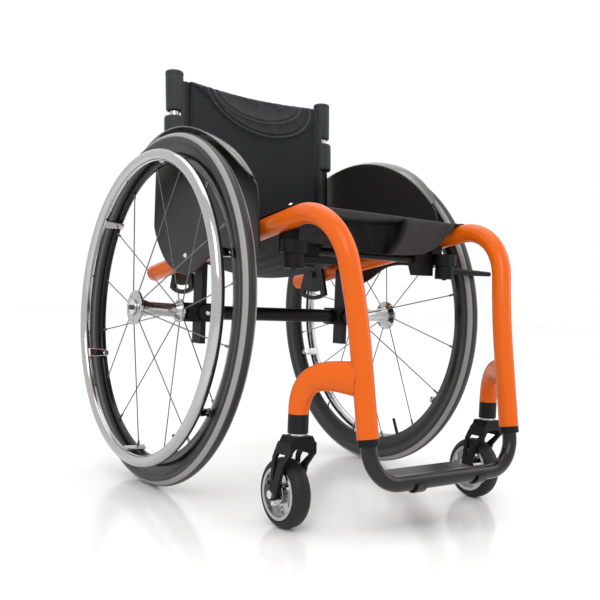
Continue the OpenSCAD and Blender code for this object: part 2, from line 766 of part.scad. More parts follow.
module tyre(s) {
    hook_top = bead_r + hook_h + seat_gap;
    color("#18181a") on_side(s) wheel_frame() rotate_extrude($fn = 96) difference() {
        union() {
            intersection() {
                translate([tyre_ring_r, 0]) circle(d = tyre_w);
                translate([hook_top, -tyre_w]) square([2 * tyre_w, 2 * tyre_w]);
            }
            translate([bead_r + seat_gap, -bead_w / 2]) square([tyre_ring_r - bead_r, bead_w]);
        }
        translate([tyre_ring_r, 0]) circle(d = tyre_w - 2 * tyre_wall);
        translate([bead_r, -tyre_mouth / 2]) square([tyre_ring_r - bead_r, tyre_mouth]);
    }
}

module inner_tube(s) {
    tube_d = tyre_w - 2 * tyre_wall - 2 * pass_gap;
    color("#2a2a2c") on_side(s) wheel_frame() {
        rotate_extrude($fn = 96) translate([tyre_ring_r, 0]) circle(d = tube_d);
        rotate(valve_angle) rotate([0, 90, 0]) translate([0, 0, tyre_ring_r - tube_d / 2 + over - valve_l - rim_depth])
            cylinder(d = valve_d, h = valve_l + rim_depth);
    }
}

// Spokes: alternate between the two flanges, none straight up, down, ahead or behind
spoke_sink = 1;
outer_spoke_z = hub_out - hub_flange_t;
inner_spoke_z = inner_flange_z - hub_flange_t / 2;
nipple_d = 4;
nipple_l = 12;

module spoke(from_r, from_z) {
    run = nose_r + spoke_sink - from_r;
    length = norm([run, from_z]);
    translate([from_r, 0, from_z]) rotate([0, 90 + atan2(from_z, run), 0]) {
        cylinder(d = spoke_d, h = length, $fn = 16);
        translate([0, 0, length - nipple_l]) cylinder(d = nipple_d, h = nipple_l, $fn = 16);
    }
}

module spokes(s) {
    step = 360 / spoke_count;
    color("#c8cacc") on_side(s) wheel_frame() for (i = [0 : spoke_count - 1]) rotate((i + 1 / 2) * step)
        if (i % 2 == 0) spoke(hub_flange_d / 2 - spoke_sink - hub_flange_t / 2, outer_spoke_z);
        else spoke(hub_inner_flange_d / 2 - spoke_sink, inner_spoke_z);
}

// Handrim: a ring of tube with welded tabs that pass under the rim's nose
handrim_r = bead_r - handrim_step;
tab_turn = 8;
tab_w = 17;
tab_t = 5;
tab_weld = 1.5;
tab_in = 6;
tab_boss_d = 10;
tab_screw_d = 8;
tab_screw_h = 3;
tab_top = handrim_r - handrim_tube_d / 2 + tab_weld;

module each_tab() {
    for (i = [0 : tab_count - 1]) rotate(tab_turn + i * 360 / tab_count) children();
}

module handrim(s) {
    color("#d8dadc") on_side(s) wheel_frame() {
        translate([0, 0, handrim_out]) rotate_extrude($fn = 96) translate([handrim_r, 0]) circle(d = handrim_tube_d);
        each_tab() {
            translate([tab_top - tab_t, -tab_w / 2, -tab_in]) cube([tab_t, tab_w, handrim_out + tab_in]);
            rotate([0, 90, 0]) translate([0, 0, tab_top - tab_t])
                cylinder(d = tab_boss_d, h = nose_r - tab_top + tab_t - seat_gap);
        }
    }
}

module handrim_screws(s) {
    color("silver") on_side(s) wheel_frame() each_tab() rotate([0, 90, 0])
        translate([0, 0, tab_top - tab_t - tab_screw_h - seat_gap]) cylinder(d = tab_screw_d, h = tab_screw_h);
}

// Seat: cloth laid over both rails, sagging between them, with a flap that hangs from the front hem
sling_rows = 19;
flap_rows = 8;
sling_lift = frame_tube_d / 2 + pass_gap;
wrap_angle = 22;
hem_r = 6;
flap_side_gap = 4;
flap_side_power = 4;
flap_turn_share = 0.3;
// Fold in the flap: its depth, and its place and width as shares of the flap's half width
flap_fold = 8;
flap_fold_share = 0.2;
flap_fold_w_share = 0.14;
sling_edge_x = rail_x - sling_lift * sin(wrap_angle);
sling_l = sling_ahead + sling_back;
flap_half = rail_x - frame_tube_d / 2 - flap_side_gap;
// Columns of the cloth: round the top of each rail, and across the span between them
wrap_cols = 4;
span_cols = 10;
wrap_xs = [for (i = [0 : wrap_cols]) rail_x + sling_lift * sin(wrap_angle * (2 * i / wrap_cols - 1))];
sling_xs = concat([for (i = [wrap_cols : -1 : 0]) -wrap_xs[i]],
    [for (i = [0 : span_cols]) flap_half * (2 * i / span_cols - 1)], wrap_xs);

// Height of the cloth's under side over the rail's centre line, at a place x, for a sag
function sling_h(x, sag) = let (a = abs(x))
    a > sling_edge_x
        ? sqrt(pow(sling_lift, 2) - pow(a - rail_x, 2))
        : sling_lift * cos(wrap_angle) - sag * (1 - pow(a / sling_edge_x, 2));

// Seat row at share v from the front hem (0) to the rear edge (1)
function sling_row(v, lift) = let (
    y = -sling_ahead + v * sling_l,
    sag = sling_sag * (1 - pow(1 - v, 2))
) [for (x = sling_xs) [x, y, rail_z(y) + (sling_h(x, sag) + lift) / cos(rail_slope)]];

// Flap row at share w from its lower edge (0) to the hem (1); over the rails it lies flat
function flap_row(w, lift) = let (
    turn = min(1, (1 - w) / flap_turn_share)
) [for (x = sling_xs) let (
    u = x / flap_half,
    hang = max(0, 1 - pow(abs(u), flap_side_power)),
    lean = 90 * turn * min(1, 3 * hang),
    fold = flap_fold * exp(-pow((u - flap_fold_share) / flap_fold_w_share, 2)) * (1 - w),
    y = -sling_ahead - hem_r * turn - fold
) [x, y - lift * sin(lean),
    rail_z(-sling_ahead - hem_r * turn) + sling_h(x, 0) / cos(rail_slope) - flap_drop * hang * (1 - w)
        + lift * cos(lean)]];

module seat_sling() {
    front = concat(
        [for (j = [0 : flap_rows - 1]) flap_row(j / flap_rows, sling_t)],
        [for (j = [0 : sling_rows]) sling_row(j / sling_rows, sling_t)]);
    back = concat(
        [for (j = [0 : flap_rows - 1]) flap_row(j / flap_rows, 0)],
        [for (j = [0 : sling_rows]) sling_row(j / sling_rows, 0)]);
    color("#18181a") sheet(front, back);
}

// Screws: dome heads along the seat rails, and through the guards into the rails
screw_d = 5;
screw_head_d = 10;
screw_head_h = 3;
screw_l = 16;
// Places of the screws along the seat, and along the guard, from their front ends
seat_screw_shares = [0.054, 0.41, 0.69, 0.94];
guard_screw_shares = [0.23, 0.65];

module dome_screw() {
    translate([0, 0, -screw_l]) cylinder(d = screw_d, h = screw_l, $fn = 24);
    cylinder(d1 = screw_head_d, d2 = screw_head_d / 2, h = screw_head_h, $fn = 24);
}

// Side guard: an upright panel whose top follows the tyre
guard_x = rail_x + frame_tube_d / 2 + guard_gap;
guard_r = tyre_d / 2 + guard_rise;
guard_top = hub_z + guard_r;
guard_rear = 126;
guard_front = 240;
guard_h = 250;
guard_rear_angle = 25;
guard_front_angle = -47;
guard_arc_steps = 24;
guard_low_steps = 8;
guard_l = guard_front + guard_rear;
// Lower outline, as shares of the guard's length from its front and of its height from its lowest point
guard_knee_shares = [1, 0.37];
guard_low_shares = [[0.88, 0.165], [0.63, -0.07], [0.42, 0.185]];
guard_chin_shares = [[0.3, 0.212], [0, 0.18]];
guard_brow_shares = [0.03, 0.54];

function guard_point(s) = [s.x * guard_l - guard_front, guard_top - guard_h + s.y * guard_h];

// Point of a circle about the axle at an angle, counted rearwards from straight up
function fender_point(a, r) = [r * sin(a), hub_z + r * cos(a)];

module guard_panel() {
    arc = [for (i = [0 : guard_arc_steps])
        fender_point(guard_front_angle + (guard_rear_angle - guard_front_angle) * i / guard_arc_steps, guard_r)];
    low = [for (i = [0 : guard_low_steps]) let (t = i / guard_low_steps)
        guard_point(guard_low_shares[0]) * pow(1 - t, 2) + guard_point(guard_low_shares[1]) * 2 * t * (1 - t)
            + guard_point(guard_low_shares[2]) * t * t];
    outline = concat(arc, [guard_point(guard_knee_shares)], low,
        [for (share = guard_chin_shares) guard_point(share)], [guard_point(guard_brow_shares)]);
    rotate([90, 0, 90]) linear_extrude(guard_t) polygon(outline);
}

// Fender lip: a thin strip that leaves the panel's top, rises over the tyre and fades at the front
lip_t = 2.5;
lip_steps = 30;
lip_cols = 6;
lip_front_angle = -46;
lip_rear_angle = 27;
lip_front_rise = 5;
lip_rear_rise = 18;
lip_front_w = 3;
lip_rear_w = 16;
lip_swell_power = 0.55;
function lip_w(t) = lip_front_w + (lip_rear_w - lip_front_w) * t
    + (fender_w - lip_rear_w * t) * pow(sin(180 * t), lip_swell_power) * (1 - lip_front_w / fender_w);
function lip_row(t, lift) = let (
    a = lip_front_angle + (lip_rear_angle - lip_front_angle) * t,
    rise = lip_front_rise + (lip_rear_rise - lip_front_rise) * t
) [for (i = [0 : lip_cols]) let (
    u = i / lip_cols,
    p = fender_point(a, guard_r + lift - lip_t / 2 + rise * sin(90 * u))
) [guard_x + u * (guard_t + lip_w(t)), p.x, p.y]];

module side_guard(s) {
    color("#2e2c28") on_side(s) {
        translate([guard_x, 0, 0]) guard_panel();
        sheet([for (j = [0 : lip_steps]) lip_row(j / lip_steps, lip_t)],
            [for (j = [0 : lip_steps]) lip_row(j / lip_steps, 0)]);
    }
}

module frame_screws() {
    color("silver") both_sides() {
        for (share = seat_screw_shares) let (y = share * sling_l - sling_ahead)
            translate([rail_x, y, rail_z(y) + (sling_lift + sling_t) / cos(rail_slope)])
                rotate([-rail_slope, 0, 0]) dome_screw();
        for (share = guard_screw_shares) let (y = share * guard_l - guard_front)
            translate([guard_x + guard_t, y, rail_z(y)]) rotate([0, 90, 0]) dome_screw();
    }
}

// Brakes: a cross bar under the seat, hangers under the rails, and arms whose shoes meet the tyres
brake_tuck = 10;
brake_pivot_in = 10;
brake_block_drop = 8;
brake_block_h = 19;
brake_block_w = 42;
brake_hub_d = 32;
brake_pin_d = 8;
brake_pin_end = 2;
brake_arm_h = 22;
shoe_drop = 8;
shoe_tip_d = 8;
// Forward turn of the arms from straight out: the left one stands ready, the right one is folded away
brake_ready_angle = 5;
brake_fold_angle = 165;
cross_bar_drop = 37;
hanger_x = 114;
hanger_grip = 19;
hanger_w = 44;
hanger_up = 10;
hanger_down = 26;
hanger_taper = 14;
link_d = 16;
brake_saddle_w = 22;
brake_saddle_l = 18;
brake_saddle_down = 6;
hanger_in = hanger_x - hanger_grip;
hanger_out = hanger_in + hanger_w;
link_x = hanger_out + brake_saddle_w / 2;
brake_x = rail_x - brake_pivot_in;
brake_pivot_ahead = tyre_d / 2 - brake_tuck;
cross_bar_z = rail_z(-cross_bar_ahead) - cross_bar_drop;
brake_block_z = cross_bar_z - brake_block_drop;
brake_pin_l = brake_arm_h + pass_gap + brake_pin_end;

module cross_bar() {
    color("#1a1a1c") translate([-hanger_x, -cross_bar_ahead, cross_bar_z]) rotate([0, 90, 0])
        cylinder(d = cross_bar_d, h = 2 * hanger_x);
}

// Body: a tapered hanger on the bar's end, a saddle under the rail, and a rounded block with the pivot pin
module brake_bodies() {
    saddle_z = cross_bar_z - brake_saddle_down;
    saddle_top = rail_z(-cross_bar_ahead) - frame_tube_d / 4;
    block_x = (brake_block_w - brake_hub_d) / 2;
    color("#1c1c1e") both_sides() difference() {
        union() {
            translate([0, cross_bar_d - cross_bar_ahead, cross_bar_z]) rotate([90, 0, 0])
                linear_extrude(2 * cross_bar_d) polygon([
                    [hanger_in, hanger_up], [hanger_in + hanger_taper, -hanger_down],
                    [hanger_out, -hanger_down], [hanger_out, hanger_up]
                ]);
            translate([hanger_out - over, -cross_bar_ahead - brake_saddle_l / 2, saddle_z])
                cube([brake_saddle_w + over, brake_saddle_l, saddle_top - saddle_z]);
            hull() for (ahead = [cross_bar_ahead, brake_pivot_ahead])
                translate([link_x, -ahead, brake_block_z]) cylinder(d = link_d, h = link_d);
            translate([brake_x, -brake_pivot_ahead, brake_block_z]) {
                hull() for (x = [-block_x, block_x]) translate([x, 0, 0]) cylinder(d = brake_hub_d, h = brake_block_h);
                translate([0, 0, -brake_pin_l]) cylinder(d = brake_pin_d, h = brake_pin_l + over);
            }
        }
        rail_frame() cylinder(d = frame_tube_d + 2 * seat_gap, h = rail_len);
        translate([hanger_in - over, -cross_bar_ahead, cross_bar_z]) rotate([0, 90, 0])
            cylinder(d = cross_bar_d + 2 * seat_gap, h = hanger_grip + over);
    }
}

module brake_arm(s) {
    arm_z = brake_block_z - pass_gap - brake_arm_h;
    turn = s < 0 ? brake_fold_angle : brake_ready_angle;
    color("#1c1c1e") on_side(s) translate([brake_x, -brake_pivot_ahead, arm_z]) difference() {
        union() {
            cylinder(d = brake_hub_d, h = brake_arm_h);
            translate([0, 0, brake_arm_h - shoe_drop]) rotate([0, 0, -turn]) rotate([0, 90, 0])
                cylinder(d1 = shoe_d, d2 = shoe_tip_d, h = brake_arm_l);
        }
        translate([0, 0, -over]) cylinder(d = brake_pin_d + 2 * run_gap, h = brake_arm_h + 2 * over);
    }
}

// Back: hinge plates inside the rails, posts that fold forward on the pivot, and the upholstery
pivot_z = rail_z(pivot_back) + pivot_rise;
hinge_t = 6;
hinge_pin_d = 8;
hinge_lobe_r = 15;
hinge_reach = 106;
hinge_slot_r = 94;
hinge_slot_w = 8;
hinge_spread = 26;
hinge_slot_spread = 17;
hinge_steps = 8;
hinge_bolt_d = 14;
hinge_bolt_h = 5;
hinge_outer_x = rail_x - frame_tube_d / 2 - seat_gap;
pin_head_out = 4;

function hinge_point(r, a) = [r * sin(a), -r * cos(a)];
function hinge_arc(r, spread) = [for (i = [0 : hinge_steps]) hinge_point(r, -spread + 2 * spread * i / hinge_steps)];

module back_hinge_plates() {
    bolt_drop = pivot_rise;
    color("#161618") both_sides() translate([hinge_outer_x - hinge_t, pivot_back, pivot_z]) {
        rotate([90, 0, 90]) linear_extrude(hinge_t) difference() {
            union() {
                circle(r = hinge_lobe_r);
                polygon(concat([[hinge_lobe_r, 0], [-hinge_lobe_r, 0]], hinge_arc(hinge_reach, hinge_spread)));
            }
            circle(d = hinge_pin_d + 2 * run_gap);
            polygon(concat(hinge_arc(hinge_slot_r + hinge_slot_w / 2, hinge_slot_spread),
                [for (i = [hinge_steps : -1 : 0]) hinge_arc(hinge_slot_r - hinge_slot_w / 2, hinge_slot_spread)[i]]));
        }
        translate([0, 0, -bolt_drop]) rotate([0, -90, 0]) cylinder(d = hinge_bolt_d, h = hinge_bolt_h, $fn = 6);
    }
}

// Back frame: Z runs up the posts from the pivot, at the recline
module back_frame() {
    translate([0, pivot_back, pivot_z]) rotate([-recline, 0, 0]) children();
}

module back_hinge_pins() {
    color("silver") both_sides() back_frame() translate([hinge_outer_x - hinge_t - pin_head_out, 0, 0])
        rotate([0, 90, 0]) {
            cylinder(d = 2 * hinge_pin_d, h = pin_head_out - pass_gap);
            cylinder(d = hinge_pin_d, h = rail_x + post_d / 2 - hinge_outer_x + hinge_t + pin_head_out);
        }
}

post_foot = 13;
post_share = 0.62;
post_bore_d = upper_tube_d + 2 * seat_gap;
upper_overlap = 90;

module back_posts() {
    color("#1a1a1c") both_sides() back_frame() translate([rail_x, 0, 0]) difference() {
        union() {
            translate([0, 0, -post_foot]) cylinder(d = post_d, h = post_foot + post_len * post_share);
            translate([hinge_outer_x - rail_x + pass_gap, 0, 0]) rotate([0, 90, 0])
                cylinder(d = post_d, h = rail_x - hinge_outer_x - pass_gap);
        }
        translate([0, 0, hinge_lobe_r]) cylinder(d = post_bore_d, h = post_len);
        translate([-frame_tube_d, 0, 0]) rotate([0, 90, 0])
            cylinder(d = hinge_pin_d + 2 * seat_gap, h = 2 * frame_tube_d);
    }
}

module back_tubes() {
    color("silver") both_sides() back_frame() translate([rail_x, 0, post_len * post_share - upper_overlap])
        cylinder(d = upper_tube_d, h = post_len * (1 - post_share) + upper_overlap);
}

// Brace: a bowed bar behind the upholstery that joins both posts
brace_d = 14;
brace_bow = 36;
brace_share = 0.313;
brace_weld = 1;

module back_brace() {
    chord = rail_x;
    brace_y = post_d / 2 + brace_d / 2 - brace_weld;
    brace_r = (chord * chord + brace_bow * brace_bow) / (2 * brace_bow);
    half = asin(chord / brace_r);
    color("#1a1a1c") back_frame()
        translate([0, brace_y + brace_bow - brace_r, post_len * brace_share]) rotate([0, 0, 90 - half])
        rotate_extrude(angle = 2 * half, $fn = 96) translate([brace_r, 0]) circle(d = brace_d);
}

// Upholstery: a bowed, padded panel with two stitched arcs ahead of the posts, and cloth loops round the posts
loop_t = 4;
loop_gap = 0.4;
loop_d = post_d + 2 * loop_t + 2 * loop_gap;
loop_upper_h = 72;
loop_lower_h = 56;
loop_split = 9;
loop_top = 2;
panel_low = 17;
panel_top = 13;
panel_ahead = 14;
panel_edge_t = 5;
panel_side_gap = 0.5;
panel_cols = 28;
panel_rows = 20;
panel_crowd_power = 1.35;
panel_side_power = 6;
panel_end_power = 8;
stitch_depth = 4;
stitch_w = 7;
stitch_offset = 12;
// Half widths and depths of the two stitched arcs, as shares of the panel's half width and height
stitch_shares = [[0.71, 0.265], [0.6, 0.17]];
// The panel's edge meets the front of the loops
panel_edge_rear = panel_ahead - panel_edge_t / 2;
panel_half = rail_x - sqrt(pow(loop_d / 2, 2) - pow(panel_edge_rear, 2)) - panel_side_gap;
panel_h = post_len - panel_top - panel_low;

function stitch(x, z, s) = let (
    a = s.x * panel_half,
    b = s.y * panel_h,
    rho = norm([(x - stitch_offset) / a, (panel_low + panel_h - z) / b])
) exp(-pow((rho - 1) * (a + b) / 2 / stitch_w, 2));

// Panel point: front faces -Y; half is the way out of the middle surface, -1 front and +1 back
function panel_point(i, j, half) = let (
    u = 2 * i / panel_cols - 1,
    v = 1 - pow(1 - j / panel_rows, panel_crowd_power),
    x = u * panel_half,
    z = panel_low + v * panel_h,
    pad = (panel_t - panel_edge_t) * (1 - pow(u, panel_side_power)) * (1 - pow(2 * v - 1, panel_end_power)),
    groove = half < 0 ? stitch_depth * max(stitch(x, z, stitch_shares[0]), stitch(x, z, stitch_shares[1])) : 0,
    t = (panel_edge_t + pad) / 2 - groove * pad / panel_t
) [x, panel_bow * (1 - u * u) - panel_ahead + half * t, z];

module back_upholstery() {
    front = [for (j = [0 : panel_rows]) [for (i = [0 : panel_cols]) panel_point(i, j, -1)]];
    back = [for (j = [0 : panel_rows]) [for (i = [0 : panel_cols]) panel_point(i, j, 1)]];
    upper_z = post_len + loop_top - loop_upper_h;
    color("#1b1b1e") {
        back_frame() sheet(front, back);
        both_sides() back_frame() translate([rail_x, 0, 0]) {
            translate([0, 0, upper_z]) difference() {
                cylinder(d = loop_d, h = loop_upper_h);
                translate([0, 0, -over]) cylinder(d = upper_tube_d + 2 * loop_gap, h = loop_upper_h + over - loop_top);
            }
            translate([0, 0, upper_z - loop_split - loop_lower_h])
                ring(loop_d, post_d + 2 * loop_gap, loop_lower_h);
        }
    }
}

// Places that joints and mounts use, from the origin
echo(axle_y = axle_y, hub_z = hub_z, wheel_x = wheel_x);
echo(swivel = [caster_track / 2, axle_y - swivel_ahead, 0], caster_axle_y = axle_y - swivel_ahead + caster_trail);
echo(pivot = [0, axle_y + pivot_back, pivot_z]);
echo(brake = [brake_x, axle_y - brake_pivot_ahead, brake_block_z]);
echo(foot = [0, axle_y + foot_y, foot_z], leg_end = leg_end + [0, axle_y, 0]);
echo(rail_rear = rail_rear + [0, axle_y, 0], tube_z = tube_z);

chair() frame_side(right);  // frame_right
chair() frame_side(left);  // frame_left
chair() caster_arm(right);  // caster_arm_right
chair() caster_arm(left);  // caster_arm_left
chair() caster_housings();
chair() caster_stem_bearings();
chair() caster_stem(right);  // caster_stem_right
chair() caster_stem(left);  // caster_stem_left
chair() caster_fork(right);  // caster_fork_right
chair() caster_fork(left);  // caster_fork_left
chair() caster_axle(right);  // caster_axle_right
chair() caster_axle(left);  // caster_axle_left
chair() caster_core(right);  // caster_core_right
chair() caster_core(left);  // caster_core_left
chair() caster_tyre(right);  // caster_tyre_right
chair() caster_tyre(left);  // caster_tyre_left
chair() caster_bearings(right);  // caster_bearings_right
chair() caster_bearings(left);  // caster_bearings_left
chair() footrest_tube();
chair() footrest_collars();
chair() footplate();
chair() footplate_clamps();
chair() axle_tube();
chair() axle_bars();
chair() axle_clamps();
chair() axle_receivers();
chair() axle_caps();
chair() axle_pins();
chair() release_button(right);  // release_button_right
chair() release_button(left);  // release_button_left
chair() hub(right);  // hub_right
chair() hub(left);  // hub_left
chair() hub_bearings(right);  // hub_bearings_right
chair() hub_bearings(left);  // hub_bearings_left
chair() spokes(right);  // spokes_right
chair() spokes(left);  // spokes_left
chair() rim(right);  // rim_right
chair() rim(left);  // rim_left
chair() inner_tube(right);  // inner_tube_right
chair() inner_tube(left);  // inner_tube_left
chair() tyre(right);  // tyre_right
chair() tyre(left);  // tyre_left
chair() handrim(right);  // handrim_right
chair() handrim(left);  // handrim_left
chair() handrim_screws(right);  // handrim_screws_right
chair() handrim_screws(left);  // handrim_screws_left
chair() seat_sling();
chair() frame_screws();
chair() side_guard(right);  // side_guard_right
chair() side_guard(left);  // side_guard_left
chair() cross_bar();
chair() brake_bodies();
chair() brake_arm(right);  // brake_arm_right
chair() brake_arm(left);  // brake_arm_left
chair() back_hinge_plates();
chair() back_hinge_pins();
chair() back_posts();
chair() back_tubes();
chair() back_brace();
chair() back_upholstery();
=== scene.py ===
import json

import bmesh
import bpy
import numpy as np
from mathutils import Matrix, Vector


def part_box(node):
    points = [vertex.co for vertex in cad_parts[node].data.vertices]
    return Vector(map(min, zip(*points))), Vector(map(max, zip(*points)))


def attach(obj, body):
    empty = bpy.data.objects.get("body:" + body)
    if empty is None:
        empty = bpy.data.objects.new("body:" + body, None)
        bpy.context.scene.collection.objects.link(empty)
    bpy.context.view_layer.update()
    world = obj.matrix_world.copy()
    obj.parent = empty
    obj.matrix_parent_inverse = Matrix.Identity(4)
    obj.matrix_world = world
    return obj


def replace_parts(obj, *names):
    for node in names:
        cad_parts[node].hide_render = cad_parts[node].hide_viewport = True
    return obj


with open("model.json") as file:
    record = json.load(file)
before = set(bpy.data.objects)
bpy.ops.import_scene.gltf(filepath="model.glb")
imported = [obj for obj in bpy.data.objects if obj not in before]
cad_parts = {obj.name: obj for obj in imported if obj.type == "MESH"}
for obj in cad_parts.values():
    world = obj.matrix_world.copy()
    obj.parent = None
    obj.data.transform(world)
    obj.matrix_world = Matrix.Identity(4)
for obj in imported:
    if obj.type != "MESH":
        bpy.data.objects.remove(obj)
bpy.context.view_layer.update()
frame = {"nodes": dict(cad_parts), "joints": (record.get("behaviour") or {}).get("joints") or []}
joints = {joint["name"]: joint for joint in frame["joints"]}
sides = (("right", -1), ("left", 1))

# Camera: the chair is seen from low down, ahead of its right side, with the lens a little off level.
# The lens' own centre lies right of and below the middle of the picture, as in a cropped picture.
eye = np.array((-0.8348, -1.1937, 0.3219))
heading, tilt, roll = np.radians((38.95, -2.87, -2.51))
focal_px, centre_px, picture_px, sensor_mm = 818.09, (358.52, 342.96), 600, 36.0
ahead = np.array((np.sin(heading) * np.cos(tilt), np.cos(heading) * np.cos(tilt), np.sin(tilt)))
level = np.array((np.cos(heading), -np.sin(heading), 0.0))
upright = np.cross(level, ahead)
across = np.cos(roll) * level - np.sin(roll) * upright
upward = np.sin(roll) * level + np.cos(roll) * upright
lens = bpy.data.cameras.new("camera")
lens.sensor_width = sensor_mm
lens.lens = sensor_mm * focal_px / picture_px
lens.shift_x = (picture_px / 2 - centre_px[0]) / picture_px
lens.shift_y = (centre_px[1] - picture_px / 2) / picture_px
camera = bpy.data.objects.new("camera", lens)
bpy.context.scene.collection.objects.link(camera)
camera_axes = np.column_stack((across, upward, -ahead, eye))
camera.matrix_world = Matrix(np.vstack((camera_axes, (0, 0, 0, 1))).tolist())
bpy.context.scene.camera = camera

# Side frames: one aluminium tube a side makes the seat rail, the front bend and the bowed leg. The rail's
# rear end is open, and the whole tube is powder coated orange. A welded oval arm carries the caster.
tube_r, tube_bore_r, socket_l = 0.0150, 0.0132, 0.090
axle = np.array(joints["wheel_spin_left"]["pos_m"]) * (0, 1, 1)
rail_rear = np.array((0.165, axle[1] + 0.165, 0.359))
rail_l, rail_slope, front_bend_r, leg_l, bow_l = 0.484, np.radians(10), 0.090, 0.235, 0.126
leg_tuck, leg_bow = np.radians((7.8, 6.8))
rail_way = np.array((0, -np.cos(rail_slope), np.sin(rail_slope)))
rail_up = np.array((0, np.sin(rail_slope), np.cos(rail_slope)))
outward = np.array((1.0, 0, 0))
leg_up = np.sin(leg_tuck) * outward + np.cos(leg_tuck) * rail_up
tube_side = np.cos(leg_tuck) * outward - np.sin(leg_tuck) * rail_up
low_up = np.cos(leg_bow) * leg_up - np.sin(leg_bow) * tube_side
low_side = np.cos(leg_bow) * tube_side + np.sin(leg_bow) * leg_up
bend_l, bow_r = front_bend_r * np.pi / 2, bow_l / leg_bow


def frame_line(s):
    """Place on the side tube's centre line, the way out of its bend and the way to its flank, at lengths s
    from the rail's rear end: straight along the rail, a quarter circle, a slight outward bow, then straight
    down the leg."""
    rail = np.clip(s, None, rail_l)[:, None]
    turn = (np.clip(s - rail_l, 0, bend_l) / front_bend_r)[:, None]
    bow = (np.clip(s - rail_l - bend_l, 0, bow_l) / bow_r)[:, None]
    low = np.clip(s - rail_l - bend_l - bow_l, 0, None)[:, None]
    out = np.cos(turn) * leg_up + np.sin(turn) * rail_way
    flank = np.cos(bow) * tube_side + np.sin(bow) * leg_up
    place = (rail_rear + rail * rail_way + front_bend_r * (out - leg_up) + bow_r * (tube_side - flank)
             - low * low_up)
    return place, out, flank


def mirrored(points, side):
    """The same points on the chair's left (side 1) or right (side -1)."""
    return points * np.array((side, 1, 1))


def skin(name, patches, body, material, sharp=40):
    """Piece over one or more grids of points, each (points, rows wrap, columns wrap): every point is joined
    to the next along its row and its column, and a direction that wraps joins its last line to its first.
    Doubled points at poles and seams are merged, and edges sharper than the given degrees stay crisp."""
    points, faces, uvs, start = [], [], [], 0
    for grid, wrap_rows, wrap_cols in patches:
        rows, cols = grid.shape[:2]
        row = np.arange(rows if wrap_rows else rows - 1)[:, None]
        col = np.arange(cols if wrap_cols else cols - 1)[None, :]
        corners = [(row + i, col + j) for i, j in ((0, 0), (0, 1), (1, 1), (1, 0))]
        faces.append(np.stack([start + (r % rows) * cols + c % cols for r, c in corners], -1).reshape(-1, 4))
        shares = [np.stack(np.broadcast_arrays(c / col.size, r / row.size), -1) for r, c in corners]
        uvs.append(np.stack(shares, 2))
        points.append(grid.reshape(-1, 3))
        start += rows * cols
    mesh = bpy.data.meshes.new(name)
    mesh.from_pydata(np.concatenate(points).tolist(), [], np.concatenate(faces).tolist())
    uv = np.concatenate([u.reshape(-1) for u in uvs]).astype(np.float32)
    mesh.uv_layers.new(name="UVMap").data.foreach_set("uv", uv)
    work = bmesh.new()
    work.from_mesh(mesh)
    bmesh.ops.remove_doubles(work, verts=work.verts, dist=2e-6)
    bmesh.ops.recalc_face_normals(work, faces=work.faces)
    work.to_mesh(mesh)
    work.free()
    mesh.polygons.foreach_set("use_smooth", np.ones(len(mesh.polygons), bool))
    mesh.set_sharp_from_angle(angle=np.radians(sharp))
    mesh.materials.append(material)
    piece = bpy.data.objects.new(name, mesh)
    bpy.context.scene.collection.objects.link(piece)
    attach(piece, body)
    return piece


def finish(name, colours, grain, rough, bump=0.0, sockets=None):
    """Surface whose colour runs between two colours, and its roughness between two values, with one noise
    field in object space whose spots are grain metres across; the same field lifts the surface by bump
    metres."""
    low_stop, high_stop = 0.3, 0.7
    material = bpy.data.materials.new(name)
    material.use_nodes = True
    nodes, links = material.node_tree.nodes, material.node_tree.links
    surface = nodes["Principled BSDF"]
    for socket, value in (sockets or {}).items():
        surface.inputs[socket].default_value = value
    place = nodes.new("ShaderNodeTexCoord")
    mapping = nodes.new("ShaderNodeMapping")
    mapping.inputs["Scale"].default_value = np.full(3, 1 / grain)
    noise = nodes.new("ShaderNodeTexNoise")
    noise.inputs["Scale"].default_value = 1
    noise.inputs["Detail"].default_value = 4
    ramp = nodes.new("ShaderNodeValToRGB")
    for element, place_on_ramp, colour in zip(ramp.color_ramp.elements, (low_stop, high_stop), colours):
        element.position = place_on_ramp
        element.color = (*colour, 1)
    spread = nodes.new("ShaderNodeMapRange")
    for socket, value in zip(("From Min", "From Max", "To Min", "To Max"), (low_stop, high_stop, *rough)):
        spread.inputs[socket].default_value = value
    links.new(place.outputs["Object"], mapping.inputs["Vector"])
    links.new(mapping.outputs["Vector"], noise.inputs["Vector"])
    links.new(noise.outputs["Fac"], ramp.inputs["Fac"])
    links.new(noise.outputs["Fac"], spread.inputs["Value"])
    links.new(ramp.outputs["Color"], surface.inputs["Base Color"])
    links.new(spread.outputs["Result"], surface.inputs["Roughness"])
    if bump:
        lift = nodes.new("ShaderNodeBump")
        lift.inputs["Distance"].default_value = bump
        links.new(noise.outputs["Fac"], lift.inputs["Height"])
        links.new(lift.outputs["Normal"], surface.inputs["Normal"])
    return material


orange_paint = finish("orange_paint", ((0.65, 0.102, 0.0018), (0.70, 0.114, 0.0022)), 0.0012, (0.18, 0.26),
                      6e-6, sockets={"Specular IOR Level": 0.24})
turn = np.linspace(0, 2 * np.pi, 64, endpoint=False)
frame_l = rail_l + bend_l + leg_l
edge_r = 0.0008
stations = np.concatenate(((socket_l, socket_l, edge_r, 0, 0), np.linspace(edge_r, rail_l, 40),
                           rail_l + np.linspace(0, bend_l, 42)[1:],
                           np.linspace(frame_l - leg_l, frame_l, 30)[1:], (frame_l,)))
radii = np.concatenate(((0, tube_bore_r, tube_bore_r, tube_bore_r + edge_r, tube_r - edge_r),
                        np.full(len(stations) - 6, tube_r), (0,)))
line, out, flank = frame_line(stations)
ring = np.cos(turn)[None, :, None] * flank[:, None, :] + np.sin(turn)[None, :, None] * out[:, None, :]
tube_points = line[:, None, :] + radii[:, None, None] * ring
